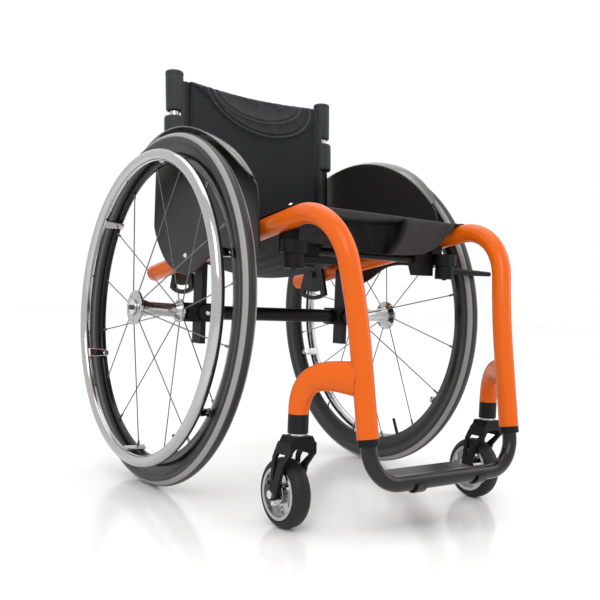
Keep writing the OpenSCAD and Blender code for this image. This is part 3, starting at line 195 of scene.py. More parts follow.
for name, side in sides:
    piece = skin("side_frame_" + name, [(mirrored(tube_points, side), False, True)], "chassis", orange_paint)
    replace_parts(piece, "frame_" + name)

arm_drop, arm_rise, arm_start_h, arm_start_w, housing_d = 0.157, 0.007, 0.049, 0.025, 0.029
swivel_left = np.array(joints["caster_swivel_left"]["pos_m"])
housing_top = 0.165
arm_start = frame_line(np.array((frame_l - leg_l + arm_drop,)))[0][0]
arm_end = np.array((swivel_left[0], swivel_left[1], housing_top))
arm_run = (arm_end - arm_start) * (1, 1, 0)
arm_pull = arm_start + 0.6 * arm_run + (0, 0, arm_rise)
arm_elbow = np.array((arm_end[0], arm_end[1], arm_start[2] + arm_rise))


def curve(a, b, c, d, t):
    """Points and unit ways of the smooth curve that leaves a towards b and reaches d from c, at shares t."""
    t = t[:, None]
    place = a * (1 - t) ** 3 + 3 * b * t * (1 - t) ** 2 + 3 * c * t ** 2 * (1 - t) + d * t ** 3
    way = (b - a) * (1 - t) ** 2 + 2 * (c - b) * t * (1 - t) + (d - c) * t ** 2
    return place, way / np.linalg.norm(way, axis=1, keepdims=True)


arm_t = np.linspace(0.05, 1, 60)
arm_line, arm_way = curve(arm_start, arm_pull, arm_elbow, arm_end, arm_t)
arm_side = np.array((-arm_run[1], arm_run[0], 0)) / np.linalg.norm(arm_run)
arm_up = np.cross(arm_way, arm_side)
half_w = (arm_start_w + (housing_d - arm_start_w) * arm_t) / 2
half_h = (arm_start_h + (housing_d - arm_start_h) * arm_t ** 0.8) / 2
flare = 1 + 0.12 * np.exp(-((arm_t - 0.05) / 0.07) ** 2)[:, None] * np.maximum(np.sin(turn), 0)
ridge = 1 + 0.11 * (1 - arm_t)[:, None] * np.abs(np.cos(turn)) ** 10
arm_points = (arm_line[:, None, :] + (half_w[:, None] * ridge * np.cos(turn))[:, :, None] * arm_side
              + (half_h[:, None] * flare * np.sin(turn))[:, :, None] * arm_up[:, None, :])
arm_points = np.concatenate((np.broadcast_to(arm_line[0], (1, 64, 3)), arm_points,
                             np.broadcast_to(arm_end, (1, 64, 3))))
for name, side in sides:
    piece = skin("caster_arm_" + name + "_tube", [(mirrored(arm_points, side), False, True)], "chassis",
                 orange_paint)
    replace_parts(piece, "caster_arm_" + name)

# Caster housings, stems and forks: black turned housings under the arms hold two bearings and the steel stem,
# and the forks are black castings with an arched crown and open blades, their edges rounded.
black_metal = finish("black_anodised", ((0.005, 0.005, 0.0055), (0.009, 0.009, 0.0095)), 0.0006,
                     (0.32, 0.42), 8e-6, sockets={"Specular IOR Level": 0.18})
black_cast = finish("black_cast", ((0.004, 0.004, 0.0045), (0.009, 0.009, 0.0095)), 0.0011, (0.36, 0.5), 3e-5,
                    sockets={"Specular IOR Level": 0.15})
plated_steel = finish("plated_steel", ((0.62, 0.62, 0.63), (0.74, 0.74, 0.75)), 0.0015, (0.18, 0.3), 4e-6,
                      sockets={"Metallic": 1.0})


def softened(node, body, material, width):
    """Copy of a machined or moulded piece with its sharp edges rounded: flat faces are joined again, then
    every edge over 32 degrees is rolled off by width metres."""
    crisp = np.radians(32)
    mesh = frame["nodes"][node].data.copy()
    work = bmesh.new()
    work.from_mesh(mesh)
    bmesh.ops.remove_doubles(work, verts=work.verts, dist=1e-6)
    bmesh.ops.dissolve_limit(work, angle_limit=np.radians(0.6), verts=work.verts, edges=work.edges)
    work.to_mesh(mesh)
    work.free()
    mesh.materials.clear()
    mesh.materials.append(material)
    mesh.polygons.foreach_set("use_smooth", np.ones(len(mesh.polygons), bool))
    mesh.set_sharp_from_angle(angle=crisp)
    piece = bpy.data.objects.new(node + "_finished", mesh)
    bpy.context.scene.collection.objects.link(piece)
    bevel = piece.modifiers.new("rounded_edges", "BEVEL")
    bevel.width = width
    bevel.segments = 3
    bevel.limit_method = "ANGLE"
    bevel.angle_limit = crisp
    bevel.harden_normals = True
    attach(piece, body)
    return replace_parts(piece, node)


def dress(material, *nodes):
    """Give CAD pieces whose shape is already right their finish."""
    for node in nodes:
        mesh = frame["nodes"][node].data
        mesh.materials.clear()
        mesh.materials.append(material)


softened("caster_housings", "chassis", black_metal, 0.0008)
dress(plated_steel, "caster_stem_bearings")
for name, side in sides:
    softened("caster_fork_" + name, "swivel_" + name, black_cast, 0.0012)
    dress(plated_steel, "caster_stem_" + name, "caster_axle_" + name, "caster_bearings_" + name)

# Caster wheels: a turned and polished aluminium core with drilled webs, and a moulded black tyre round it.
# The tread is flat in the middle and rolls off into round shoulders.
polished = finish("polished_aluminium", ((0.43, 0.43, 0.435), (0.47, 0.47, 0.475)), 0.004, (0.10, 0.14), 5e-7,
                  sockets={"Metallic": 1.0})
caster_rubber = finish("caster_rubber", ((0.008, 0.008, 0.008), (0.018, 0.018, 0.018)), 0.0009, (0.45, 0.6),
                       2e-5, sockets={"Specular IOR Level": 0.25})


def rounded(corners, radius, steps=6, closed=True):
    """Outline whose corners are rounded: each corner becomes a short curve between the points that lie radius
    along its two edges, at most half an edge away."""
    before, after = np.roll(corners, 1, 0) - corners, np.roll(corners, -1, 0) - corners
    step = [edge * np.minimum(radius / np.linalg.norm(edge, axis=1), 0.5)[:, None]
            for edge in (before, after)]
    t = np.linspace(0, 1, steps)[None, :, None]
    arcs = corners[:, None] + step[0][:, None] * (1 - t) ** 2 + step[1][:, None] * t ** 2
    if closed:
        return arcs.reshape(-1, corners.shape[1])
    return np.concatenate((corners[:1], arcs[1:-1].reshape(-1, corners.shape[1]), corners[-1:]))


def lathe(profile, centre, axis, steps):
    """Ring of points where a profile of (radius, height) rows is turned about an axis through a centre; the
    axis doesn't point quite along the chair."""
    axis = np.array(axis) / np.linalg.norm(axis)
    first = np.cross(axis, (0, 1.0, 0))
    first /= np.linalg.norm(first)
    second = np.cross(axis, first)
    angle = np.linspace(0, 2 * np.pi, steps, endpoint=False)
    spin = np.cos(angle)[:, None] * first + np.sin(angle)[:, None] * second
    return (np.array(centre) + spin[:, None, :] * profile[None, :, 0, None]
            + axis * profile[None, :, 1, None])


caster_r, caster_w, core_r, tread_half, wall_h, shoulder_r = 0.050, 0.029, 0.0381, 0.0085, 0.004, 0.008
caster_half = np.array(((core_r, caster_w / 2), (core_r + wall_h, caster_w / 2), (caster_r, tread_half)))
caster_profile = rounded(np.concatenate((caster_half * (1, -1), caster_half[::-1])), shoulder_r)
for name, side in sides:
    spin = joints["caster_spin_" + name]
    ring_points = lathe(caster_profile, spin["pos_m"], spin["axis"], 96)
    piece = skin("caster_tyre_" + name + "_rubber", [(ring_points, True, True)], "caster_" + name,
                 caster_rubber)
    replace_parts(piece, "caster_tyre_" + name)
    softened("caster_core_" + name, "caster_" + name, polished, 0.0006)

# Footrest: a black tube bent to a wide U is clamped in the legs by black collars; a thin black plate lies on
# two saddle clamps behind its bar.
foot_black = finish("footrest_black", ((0.006, 0.006, 0.0065), (0.011, 0.011, 0.0115)), 0.0008,
                    (0.12, 0.18), 5e-6, sockets={"Specular IOR Level": 0.32})
plate_black = finish("footplate_black", ((0.008, 0.008, 0.009), (0.012, 0.012, 0.013)), 0.002,
                     (0.30, 0.40), 3e-6, sockets={"Specular IOR Level": 0.15})
foot_r, foot_bend_r, foot_drop, foot_plug = 0.011, 0.050, 0.015, 0.040
foot_turn = np.pi / 2 - leg_tuck + leg_bow
leg_end = frame_line(np.array((frame_l,)))[0][0]
drop = np.linspace(-foot_plug, foot_drop, 14)[:, None]
bow = np.linspace(0, foot_turn, 24)[1:, None]
foot_down = leg_end - drop * low_up
foot_bow = foot_down[-1] - foot_bend_r * (np.sin(bow) * low_up + (1 - np.cos(bow)) * low_side)
foot_half = np.concatenate((foot_down, foot_bow))
bar = foot_half[-1] * np.stack((np.linspace(1, -1, 40), np.ones(40), np.ones(40)), -1)
foot_line = np.concatenate((foot_half[:-1], bar, mirrored(foot_half, -1)[-2::-1]))


def tube(line, radius, flat_way, sides_round=40):
    """Closed tube of a radius along a line that lies square to flat_way, with flat ends."""
    way = np.gradient(line, axis=0)
    across_way = np.cross(way, flat_way)
    across_way /= np.linalg.norm(across_way, axis=1, keepdims=True)
    angle = np.linspace(0, 2 * np.pi, sides_round, endpoint=False)
    circle = (np.cos(angle)[None, :, None] * np.array(flat_way)
              + np.sin(angle)[None, :, None] * across_way[:, None, :])
    skin_points = line[:, None, :] + np.reshape(radius, (-1, 1, 1)) * circle
    ends = [np.broadcast_to(line[i], (1, sides_round, 3)) for i in (0, -1)]
    return np.concatenate((ends[0], skin_points, ends[1]))


foot_points = tube(foot_line, foot_r, rail_way)
piece = skin("footrest_bow", [(foot_points, False, True)], "chassis", foot_black)
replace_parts(piece, "footrest_tube")
softened("footrest_collars", "chassis", black_cast, 0.0008)
softened("footplate", "chassis", plate_black, 0.0008)
softened("footplate_clamps", "chassis", foot_black, 0.0008)

# Axle group: black bars hang from the rails and carry clamps on a cross tube; the clamps hold the cambered
# receivers for the quick-release pins, and round caps with bright bolts close their fronts.
softened("axle_tube", "chassis", black_metal, 0.0005)
softened("axle_bars", "chassis", black_metal, 0.0015)
softened("axle_clamps", "chassis", black_cast, 0.002)
softened("axle_caps", "chassis", black_metal, 0.0012)
dress(plated_steel, "axle_receivers", "axle_pins")
caps_low, caps_high = (np.array(corner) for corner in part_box("axle_caps"))
cap_r, bolt_r, bolt_h, rim_h, dome_r, dome_h, dome_top = 0.015, 0.0044, 0.0034, 0.0004, 0.0026, 0.0006, 0.0008
bolt_way = (0, -1, 0.001)
bolt_corners = np.array(((0, -bolt_h), (bolt_r, -bolt_h), (bolt_r, -rim_h), (dome_r, dome_h), (0, dome_top)))
bolt_profile = rounded(bolt_corners, 0.0012, closed=False)
for name, side in sides:
    bolt_place = (side * (caps_high[0] - cap_r), caps_low[1], (caps_low[2] + caps_high[2]) / 2)
    skin("cap_bolt_" + name, [(lathe(bolt_profile, bolt_place, bolt_way, 32), True, False)], "chassis",
         plated_steel)

# Rear wheels: slick tyres with a pale stripe on each shoulder, deep black rims, sixteen plain spokes,
# polished hubs, and polished handrims on six screwed tabs. The stripes are made wider and lighter than
# the tyre's own, as a painted highlight of the overhead light on the shoulders.
steel_spoke = finish("spoke_steel", ((0.13, 0.13, 0.135), (0.20, 0.20, 0.205)), 0.002, (0.25, 0.35), 2e-6,
                     sockets={"Metallic": 1.0})
rim_black = finish("rim_gloss_black", ((0.004, 0.004, 0.0045), (0.007, 0.007, 0.0075)), 0.003,
                   (0.12, 0.2), 3e-6, sockets={"Specular IOR Level": 0.3})
button_black = finish("button_black", ((0.03, 0.03, 0.032), (0.05, 0.05, 0.052)), 0.0008, (0.3, 0.4), 1e-5)
bearing_grey = finish("bearing_steel", ((0.32, 0.32, 0.33), (0.45, 0.45, 0.46)), 0.001, (0.25, 0.4), 3e-6,
                      sockets={"Metallic": 1.0})


def banded_rubber(name):
    """Tyre rubber on the profile's own UV map: a dark tread and dark sides, with a pale stripe on each
    shoulder, the tyre's own stripe made wider and lighter as a painted highlight of the overhead light."""
    material = finish(name, ((0.009, 0.009, 0.009), (0.016, 0.016, 0.016)), 0.0012, (0.38, 0.5), 1.5e-5)
    nodes, links = material.node_tree.nodes, material.node_tree.links
    surface = nodes["Principled BSDF"]
    ramp = nodes["Color Ramp"]
    map_uv = nodes.new("ShaderNodeUVMap")
    map_uv.uv_map = "UVMap"
    split = nodes.new("ShaderNodeSeparateXYZ")
    bands = nodes.new("ShaderNodeValToRGB")
    # Pale stripes over the shoulders: the tyre's own stripe, widened and lightened as a painted highlight.
    stops = ((0.0, 0.0), (0.206, 0.0), (0.212, 1.0), (0.376, 1.0), (0.382, 0.0), (0.618, 0.0), (0.624, 1.0),
             (0.788, 1.0), (0.794, 0.0))
    for place, level_of in stops[2:]:
        bands.color_ramp.elements.new(place)
    for element, (place, level_of) in zip(bands.color_ramp.elements, stops):
        element.position = place
        element.color = (level_of, level_of, level_of, 1)
    blend = nodes.new("ShaderNodeMix")
    blend.data_type = "RGBA"
    blend.inputs[7].default_value = (0.27, 0.265, 0.265, 1)
    links.new(map_uv.outputs["UV"], split.inputs["Vector"])
    links.new(split.outputs["X"], bands.inputs["Fac"])
    links.new(bands.outputs["Color"], blend.inputs[0])
    links.new(ramp.outputs["Color"], blend.inputs[6])
    links.new(blend.outputs[2], surface.inputs["Base Color"])
    return material


tyre_rubber = banded_rubber("tyre_rubber")
tyre_ring_r, tyre_r, bead_r, hook_h = 0.2825, 0.0125, 0.270, 0.006
tyre_from = np.pi - np.arccos((tyre_ring_r - bead_r - hook_h) / tyre_r)
tyre_a = np.linspace(-tyre_from, tyre_from, 121)
groove = 0.00035 * sum(np.exp(-((np.abs(tyre_a) - a) / 0.03) ** 2) for a in (0.52, 1.23))
tyre_round = (tyre_r - groove)[:, None] * np.stack((np.cos(tyre_a), np.sin(tyre_a)), -1)
tyre_skin = tyre_round + (tyre_ring_r, 0)
bead_lift = 0.001
bead_ends = np.stack((np.full(2, bead_r + bead_lift), tyre_skin[[0, -1], 1]), -1)
tyre_profile = np.concatenate((bead_ends[:1], tyre_skin, bead_ends[1:]))
nose_r, nose_w, flank_r, hook_x, hook_t, rim_edge_r = 0.246, 0.009, 0.2604, 0.0106, 0.002, 0.0035
rim_half = np.array(((nose_r, nose_w / 2), (flank_r, hook_x), (bead_r + hook_h, hook_x),
                     (bead_r + hook_h, hook_x - hook_t), (bead_r, hook_x - hook_t)))
rim_profile = rounded(np.concatenate((rim_half * (1, -1), rim_half[::-1])), rim_edge_r)
handrim_r, handrim_tube_r, handrim_out = 0.253, 0.0095, 0.032
handrim_profile = handrim_tube_r * np.stack((np.cos(turn), np.sin(turn)), -1) + (handrim_r, handrim_out)


def edge_shares(length, radius, count):
    """Shares along a length, and the thickness at each from 0 to 1: both ends are rounded off by a quarter
    circle of the radius, where the shares crowd."""
    near = radius * (1 - np.cos(np.linspace(0, np.pi / 2, 6))) / length
    run = np.concatenate((near, np.linspace(near[-1], 1 - near[-1], count)[1:-1], 1 - near[::-1]))
    return run, np.sqrt(1 - (1 - np.minimum(np.minimum(run, 1 - run) * length / radius, 1)) ** 2)


def slab(middle, way, half):
    """Both faces of a thin body: middle points moved half a thickness each way; the faces close along the
    grid's border, where that half is nothing."""
    step = half[..., None] * way
    return [(middle + step, False, False), (middle - step, False, False)]


tab_count, tab_turn, tab_r, tab_t, tab_eye_r, tab_root_r = 6, np.radians(8), 0.2425, 0.005, 0.0065, 0.0085
tab_edge_r, tab_neck_l, boss_r, boss_gap = 0.002, 0.024, 0.005, 0.0001
tab_run, tab_run_edge = edge_shares(handrim_out + tab_eye_r, tab_edge_r, 24)
tab_side, tab_side_edge = edge_shares(2 * tab_root_r, tab_edge_r, 8)
tab_out = handrim_out - tab_run * (handrim_out + tab_eye_r)
tab_grow = np.clip(tab_out / tab_neck_l, 0, 1)
tab_half = np.where(tab_out > 0, tab_eye_r + (tab_root_r - tab_eye_r) * tab_grow ** 2 * (3 - 2 * tab_grow),
                    np.sqrt(np.maximum(tab_eye_r ** 2 - tab_out ** 2, 0)))
boss_top = nose_r - boss_gap
tab_boss = np.array(((0, tab_r), (boss_r, tab_r), (boss_r, boss_top), (0, boss_top)))
for name, side in sides:
    spin = joints["wheel_spin_" + name]
    hub, axis = np.array(spin["pos_m"]), side * np.array(spin["axis"])
    down, rear = np.array((side * axis[2], 0, -side * axis[0])), np.array((0, 1.0, 0))
    body = "wheel_" + name
    piece = skin("tyre_" + name + "_rubber", [(lathe(tyre_profile, hub, axis, 240), True, False)], body,
                 tyre_rubber)
    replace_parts(piece, "tyre_" + name)
    piece = skin("rim_" + name + "_shell", [(lathe(rim_profile, hub, axis, 200), True, True)], body,
                 rim_black)
    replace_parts(piece, "rim_" + name)
    handrim = [(lathe(handrim_profile, hub, axis, 200), True, True)]
    for angle in tab_turn + np.arange(tab_count) * 2 * np.pi / tab_count:
        way = np.cos(angle) * down + np.sin(angle) * rear
        across_tab = np.cos(angle) * rear - np.sin(angle) * down
        middle = (hub + tab_r * way + tab_out[:, None, None] * axis
                  + (tab_half[:, None] * (2 * tab_side - 1))[:, :, None] * across_tab)
        handrim += slab(middle, way, tab_t / 2 * tab_run_edge[:, None] * tab_side_edge)
        handrim.append((lathe(tab_boss, hub, way, 24), True, False))
    piece = skin("handrim_" + name + "_ring", handrim, body, polished)
    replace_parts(piece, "handrim_" + name)
    softened("hub_" + name, body, polished, 0.0006)
    dress(steel_spoke, "spokes_" + name)
    dress(caster_rubber, "inner_tube_" + name)
    dress(bearing_grey, "hub_bearings_" + name)
    dress(plated_steel, "handrim_screws_" + name)
    dress(button_black, "release_button_" + name)

# Side guards: dark moulded composite panels stand outside the rails, and their tops roll over into a glossy
# fender lip above each tyre. The mottled laminate shows through the clear coat.
guard_shell = finish("guard_composite", ((0.007, 0.0068, 0.0058), (0.024, 0.0232, 0.020)), 0.0022,
                     (0.34, 0.46), 1.5e-5, sockets={"Specular IOR Level": 0.28})
guard_gloss = finish("guard_lip_gloss", ((0.010, 0.010, 0.0095), (0.034, 0.033, 0.031)), 0.0022,
                     (0.18, 0.28), 8e-6, sockets={"Coat Weight": 0.5, "Coat Roughness": 0.12})
guard_in, guard_t, guard_r, guard_edge_r, panel_h = 0.184, 0.003, 0.297, 0.0014, 0.18
guard_front, guard_rear, guard_low, guard_h = -0.240, 0.126, 0.0470, 0.250
guard_l = guard_rear - guard_front
chin_shares, knee_shares = ((0, 0.18), (0.3, 0.212)), ((1, 0.37),)
sag_shares = np.array(((0.42, 0.185), (0.63, -0.07), (0.88, 0.165)))
sag_t = np.linspace(0, 1, 30)[:, None]
sag_line = (sag_shares[0] * (1 - sag_t) ** 2 + 2 * sag_shares[1] * sag_t * (1 - sag_t)
            + sag_shares[2] * sag_t ** 2)
low_y, low_z = np.concatenate((chin_shares, sag_line, knee_shares)).T
guard_u, guard_u_edge = edge_shares(guard_l, guard_edge_r, 90)
guard_v, guard_v_edge = edge_shares(panel_h, guard_edge_r, 40)
top_front, top_rear = guard_r * np.sin(np.radians((-47, 25)))
top_y = top_front + guard_u * (top_rear - top_front)
top = np.stack((np.full_like(top_y, guard_in + guard_t / 2), top_y, np.sqrt(guard_r ** 2 - top_y ** 2)), -1)
low_fine = np.linspace(0, 1, 401)
blur, front_share, rear_share, corner_share = 49, 0.05, 0.07, 0.055
low_raw = np.pad(np.interp(low_fine, low_y, low_z), blur // 2, "reflect", reflect_type="odd")
low_bend = np.convolve(low_raw, np.ones(blur) / blur, "valid")
low_end = np.clip(np.maximum(1 - (1 - low_fine) / rear_share, 1 - low_fine / front_share), 0, 1)
low_bend += corner_share * (1 - np.sqrt(1 - low_end ** 2))
low_rise = guard_low + guard_h * np.interp(guard_u, low_fine, low_bend)
low = np.stack((top[:, 0], guard_front + guard_l * guard_u, low_rise), -1)
brow_bulge, brow_share = 0.0076, 0.19
brow = -brow_bulge * (guard_v / brow_share) * np.exp(1 - guard_v / brow_share) * (1 - guard_u[:, None]) ** 6
panel_points = (top[:, None] + guard_v[None, :, None] * (low - top)[:, None]
                + brow[..., None] * np.array((0, 1, 0)) + axle)
lip_front, lip_rear = np.radians((-46, 27))
lip_t, lip_l, lip_reach, lip_edge_r = 0.0025, 0.378, 0.030, 0.0012
lip_start, lip_climb, lip_flick = 0.0035, 0.0065, 0.009
lip_front_w, lip_gain_w, lip_belly_w, lip_loss_w = 0.006, 0.013, 0.026, 0.0143448
lip_s, lip_s_edge = edge_shares(lip_l, lip_edge_r, 100)
lip_u, lip_u_edge = edge_shares(lip_reach, lip_edge_r, 12)
lip_a = (lip_front + (lip_rear - lip_front) * lip_s)[:, None]
lip_rise = (lip_start + lip_climb * lip_s + lip_flick * lip_s ** 5)[:, None]
lip_belly = (lip_belly_w - lip_loss_w * lip_s) * np.sin(np.pi * lip_s) ** 0.55
lip_w = (lip_front_w + lip_gain_w * lip_s + lip_belly)[:, None]
lip_way = np.stack(np.broadcast_arrays(0 * lip_a, np.sin(lip_a), np.cos(lip_a)), -1)
lip_fall = lip_rise * np.pi / 2 * np.cos(np.pi / 2 * lip_u) / lip_w
lip_points = (axle + (guard_in + lip_w * lip_u)[..., None] * outward
              + (guard_r + lip_rise * np.sin(np.pi / 2 * lip_u))[..., None] * lip_way)
lip_normal = (lip_way - lip_fall[..., None] * outward) / np.sqrt(1 + lip_fall ** 2)[..., None]
lip_half = lip_t / 2 * lip_s_edge[:, None] * lip_u_edge
for name, side in sides:
    faces = slab(mirrored(panel_points, side), outward, guard_t / 2 * guard_u_edge[:, None] * guard_v_edge)
    piece = skin("guard_panel_" + name, faces, "chassis", guard_shell)
    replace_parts(piece, "side_guard_" + name)
    faces = slab(mirrored(lip_points, side), mirrored(lip_normal, side), lip_half)
    skin("fender_lip_" + name, faces, "chassis", guard_gloss, sharp=60)

# Brakes: a black bar crosses under the seat between two moulded bodies, whose arms carry a shoe to each tyre.
# Each arm turns about an upright pin in its body.
softened("cross_bar", "chassis", black_metal, 0.0006)
softened("brake_bodies", "chassis", black_cast, 0.0025)
for name, side in sides:
    softened("brake_arm_" + name, "brake_" + name, black_cast, 0.0015)

# Back frame: slotted hinge plates inside the rails, folding posts with bright upper tubes, and a bowed brace.
# The brace ties the posts, so that both fold together on their pins.
softened("back_hinge_plates", "chassis", black_metal, 0.0008)
softened("back_posts", "backrest", black_metal, 0.0008)
softened("back_tubes", "backrest", polished, 0.0005)
softened("back_brace", "backrest", black_metal, 0.0005)
dress(plated_steel, "back_hinge_pins", "frame_screws")

# Back upholstery: a bowed foam panel sewn into dark cloth with two stitched arcs hangs between sleeves that
# slide over the posts; a gap between the sleeves shows the bright upper tubes.
back_pivot = np.array(joints["back_fold"]["pos_m"])
recline = np.radians(4.5)
back_up = np.array((0, np.sin(recline), np.cos(recline)))
back_rear = np.array((0, np.cos(recline), -np.sin(recline)))
panel_half, panel_low, panel_top, panel_t = 0.141, 0.017, 0.282, 0.016
panel_bow, panel_ahead, bow_half = 0.016, 0.014, 0.1543
arcs = ((0.0067, 0.110, 0.070, 0.023), (0.005, 0.093, 0.045, 0.010))


def on_back(across_by, rear_by, up_by):
    """Points given by their ways across, behind and up from the back's pivot, leaned with the back."""
    return (back_pivot + across_by[..., None] * outward + rear_by[..., None] * back_rear
            + up_by[..., None] * back_up)


def seam(across_by, up_by):
    """How far outside each stitched arc a place lies: half an ellipse that hangs from the panel's top and
    slants to one side, given by its middle, half width, depth and slant."""
    fall = panel_top - up_by
    return [(np.hypot((across_by - middle - slant * fall / depth) / half, fall / depth) - 1)
            * (half + depth) / 2 for middle, half, depth, slant in arcs]


def woven(name, colours, pitch, rough, lift, sockets):
    """Cloth of two crossed sets of threads, pitch metres apart, over an uneven dye; the threads lift the
    surface."""
    material = finish(name, colours, 0.009, rough, sockets=sockets)
    nodes, links = material.node_tree.nodes, material.node_tree.links
    weave = nodes.new("ShaderNodeMath")
    weave.operation = "MAXIMUM"
    for k, way in enumerate(("X", "Z")):
        thread_and_groove_highlight = nodes.new("ShaderNodeTexWave")
        thread_and_groove_highlight.bands_direction = way
        thread_and_groove_highlight.inputs["Scale"].default_value = 0.314 / pitch
        thread_and_groove_highlight.inputs["Distortion"].default_value = 0.6
        links.new(nodes["Texture Coordinate"].outputs["Object"], thread_and_groove_highlight.inputs["Vector"])
        links.new(thread_and_groove_highlight.outputs["Fac"], weave.inputs[k])
    bump = nodes.new("ShaderNodeBump")
    bump.inputs["Distance"].default_value = lift
    links.new(weave.outputs["Value"], bump.inputs["Height"])
    links.new(bump.outputs["Normal"], nodes["Principled BSDF"].inputs["Normal"])
    return material


def tinted(material, field, colour):
    """Mix a colour into a material by a value that is kept on the mesh's points."""
    nodes, links = material.node_tree.nodes, material.node_tree.links
    surface = nodes["Principled BSDF"]
    share = nodes.new("ShaderNodeAttribute")
    share.attribute_name = field
    mix = nodes.new("ShaderNodeMix")
    mix.data_type = "RGBA"
    mix.inputs[7].default_value = (*colour, 1)
    links.new(share.outputs["Fac"], mix.inputs[0])
    links.new(surface.inputs["Base Color"].links[0].from_socket, mix.inputs[6])
    links.new(mix.outputs[2], surface.inputs["Base Color"])
    return material


def keep(piece, field, values):
    """Keep one value for each point of a piece's mesh."""
    kept = piece.data.attributes.new(field, "FLOAT", "POINT")
    kept.data.foreach_set("value", np.asarray(values, np.float32))


def places(mesh):
    """The points of a mesh as rows of a table."""
    flat = np.empty(3 * len(mesh.vertices), np.float32)
    mesh.vertices.foreach_get("co", flat)
    return flat.reshape(-1, 3).astype(float)


def swell(piece, held, pressure, limit):
    """Inflate a piece as cloth, held where the weights say, and keep the result; no point moves beyond the
    limit."""
    start = places(piece.data)
    group = piece.vertex_groups.new(name="held")
    for level_of in np.unique(held)[1:]:
        group.add(np.flatnonzero(held == level_of).tolist(), float(level_of), "REPLACE")
    cloth = piece.modifiers.new("cloth", "CLOTH")
    cloth.settings.quality = 6
    cloth.settings.mass = 0.2
    cloth.settings.tension_stiffness = cloth.settings.compression_stiffness = 12
    cloth.settings.bending_stiffness = 0.4
    cloth.settings.use_pressure = True
    cloth.settings.uniform_pressure_force = pressure
    cloth.settings.shrink_min = -0.02
    cloth.settings.effector_weights.gravity = 0
    cloth.settings.vertex_group_mass = "held"
    cloth.collision_settings.use_collision = False
    cloth.point_cache.frame_start, cloth.point_cache.frame_end = 1, 20
    for moment in range(1, 21):
        bpy.context.scene.frame_set(moment)
    moved = places(piece.evaluated_get(bpy.context.evaluated_depsgraph_get()).to_mesh()) - start
    piece.modifiers.remove(cloth)
    bpy.context.scene.frame_set(1)
    size = np.linalg.norm(moved, axis=1, keepdims=True)
    limited = moved * np.minimum(1, limit / np.maximum(size, 1e-9))
    piece.data.vertices.foreach_set("co", (start + limited).ravel())
    piece.data.update()


def refined(piece):
    """Subdivide a piece's mesh once, with rounded facets, and keep that mesh."""
    piece.modifiers.new("smooth", "SUBSURF").levels = 1
    mesh = bpy.data.meshes.new_from_object(piece.evaluated_get(bpy.context.evaluated_depsgraph_get()))
    piece.modifiers.clear()
    piece.data = mesh
    return places(mesh)


back_cloth = woven("back_cloth", ((0.0050, 0.0054, 0.0074), (0.0096, 0.0100, 0.0125)), 0.0011, (0.5, 0.65),
                   6e-5, {"Specular IOR Level": 0.25})
# Painted highlight: a light line just outside each groove, along the edge that catches the light.
# Painted light: the padded zones inside the stitched arcs are made lighter, as light falling on their faces.
tinted(tinted(back_cloth, "padding_painted_light", (0.030, 0.030, 0.034)), "thread_and_groove_highlight", (0.055, 0.055, 0.060))
pad_u, pad_u_edge = edge_shares(2 * panel_half, 0.007, 78)
pad_v, pad_v_edge = edge_shares(panel_top - panel_low, 0.007, 74)
pad_s, pad_r = 2 * pad_u[None, :] - 1, 2 * pad_v[:, None] - 1
pull = 0.012 * np.abs(pad_s * pad_r) ** 12
pad_x = panel_half * pad_s * (1 - pull)
pad_z = (panel_top + panel_low) / 2 + (panel_top - panel_low) / 2 * pad_r * (1 - pull)
pad_z = pad_z - 0.004 * (1 - pad_s ** 2) * np.clip(pad_r, 0, 1) ** 2
pad_y = panel_bow * (1 - (pad_x / bow_half) ** 2) - panel_ahead
pad_half = panel_t / 2 * pad_u_edge[None, :] * pad_v_edge[:, None]
faces = slab(on_back(pad_x, pad_y, pad_z), back_rear, pad_half)
back_panel = skin("back_panel", faces, "backrest", back_cloth, sharp=180)
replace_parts(back_panel, "back_upholstery")


def on_panel(spots):
    """For points of the panel: their ways across and up, how far they lie outside each arc, and which face
    front."""
    side_by, up_by, rear_by = spots[:, 0], (spots - back_pivot) @ back_up, (spots - back_pivot) @ back_rear
    middle = panel_bow * (1 - (side_by / bow_half) ** 2) - panel_ahead
    return side_by, up_by, *seam(side_by, up_by), np.clip((middle - rear_by) / 0.004, 0, 1)


side_by, up_by, outer, inner, facing = on_panel(places(back_panel.data))
tie_w, swell_pressure, swell_limit = 0.004, 4.0, 0.003
tied = np.maximum(np.exp(-(outer / tie_w) ** 2), np.exp(-(inner / tie_w) ** 2))
held = np.where(facing > 0.9, np.round(tied, 1), 1.0)
swell(back_panel, held, swell_pressure, swell_limit)
spots = refined(back_panel)
side_by, up_by, outer, inner, facing = on_panel(spots)
seam_deep, seam_w, welt_h, welt_out, welt_w = 0.0022, 0.0017, 0.0007, 0.0045, 0.0022
for far in (outer, inner):
    welt = welt_h * np.exp(-((np.abs(far) - welt_out) / welt_w) ** 2)
    carve = seam_deep * np.exp(-(far / seam_w) ** 2) - welt
    spots = spots + (facing * carve)[:, None] * back_rear
back_panel.data.vertices.foreach_set("co", spots.ravel())
back_panel.data.update()
# Painted light inside the arcs: part strength inside the outer arc, full strength inside the inner arc, front
# face only.
keep(back_panel, "padding_painted_light", facing * (0.45 * (outer < 0) + 0.55 * (inner < 0)))
# Painted highlight along each groove: a light line a little outside the seam, on the front face.
highlight_out, highlight_w = 0.0035, 0.0014
groove_highlight_share = np.maximum(*(np.exp(-((far - highlight_out) / highlight_w) ** 2) for far in (outer, inner)))
keep(back_panel, "thread_and_groove_highlight", facing * groove_highlight_share)

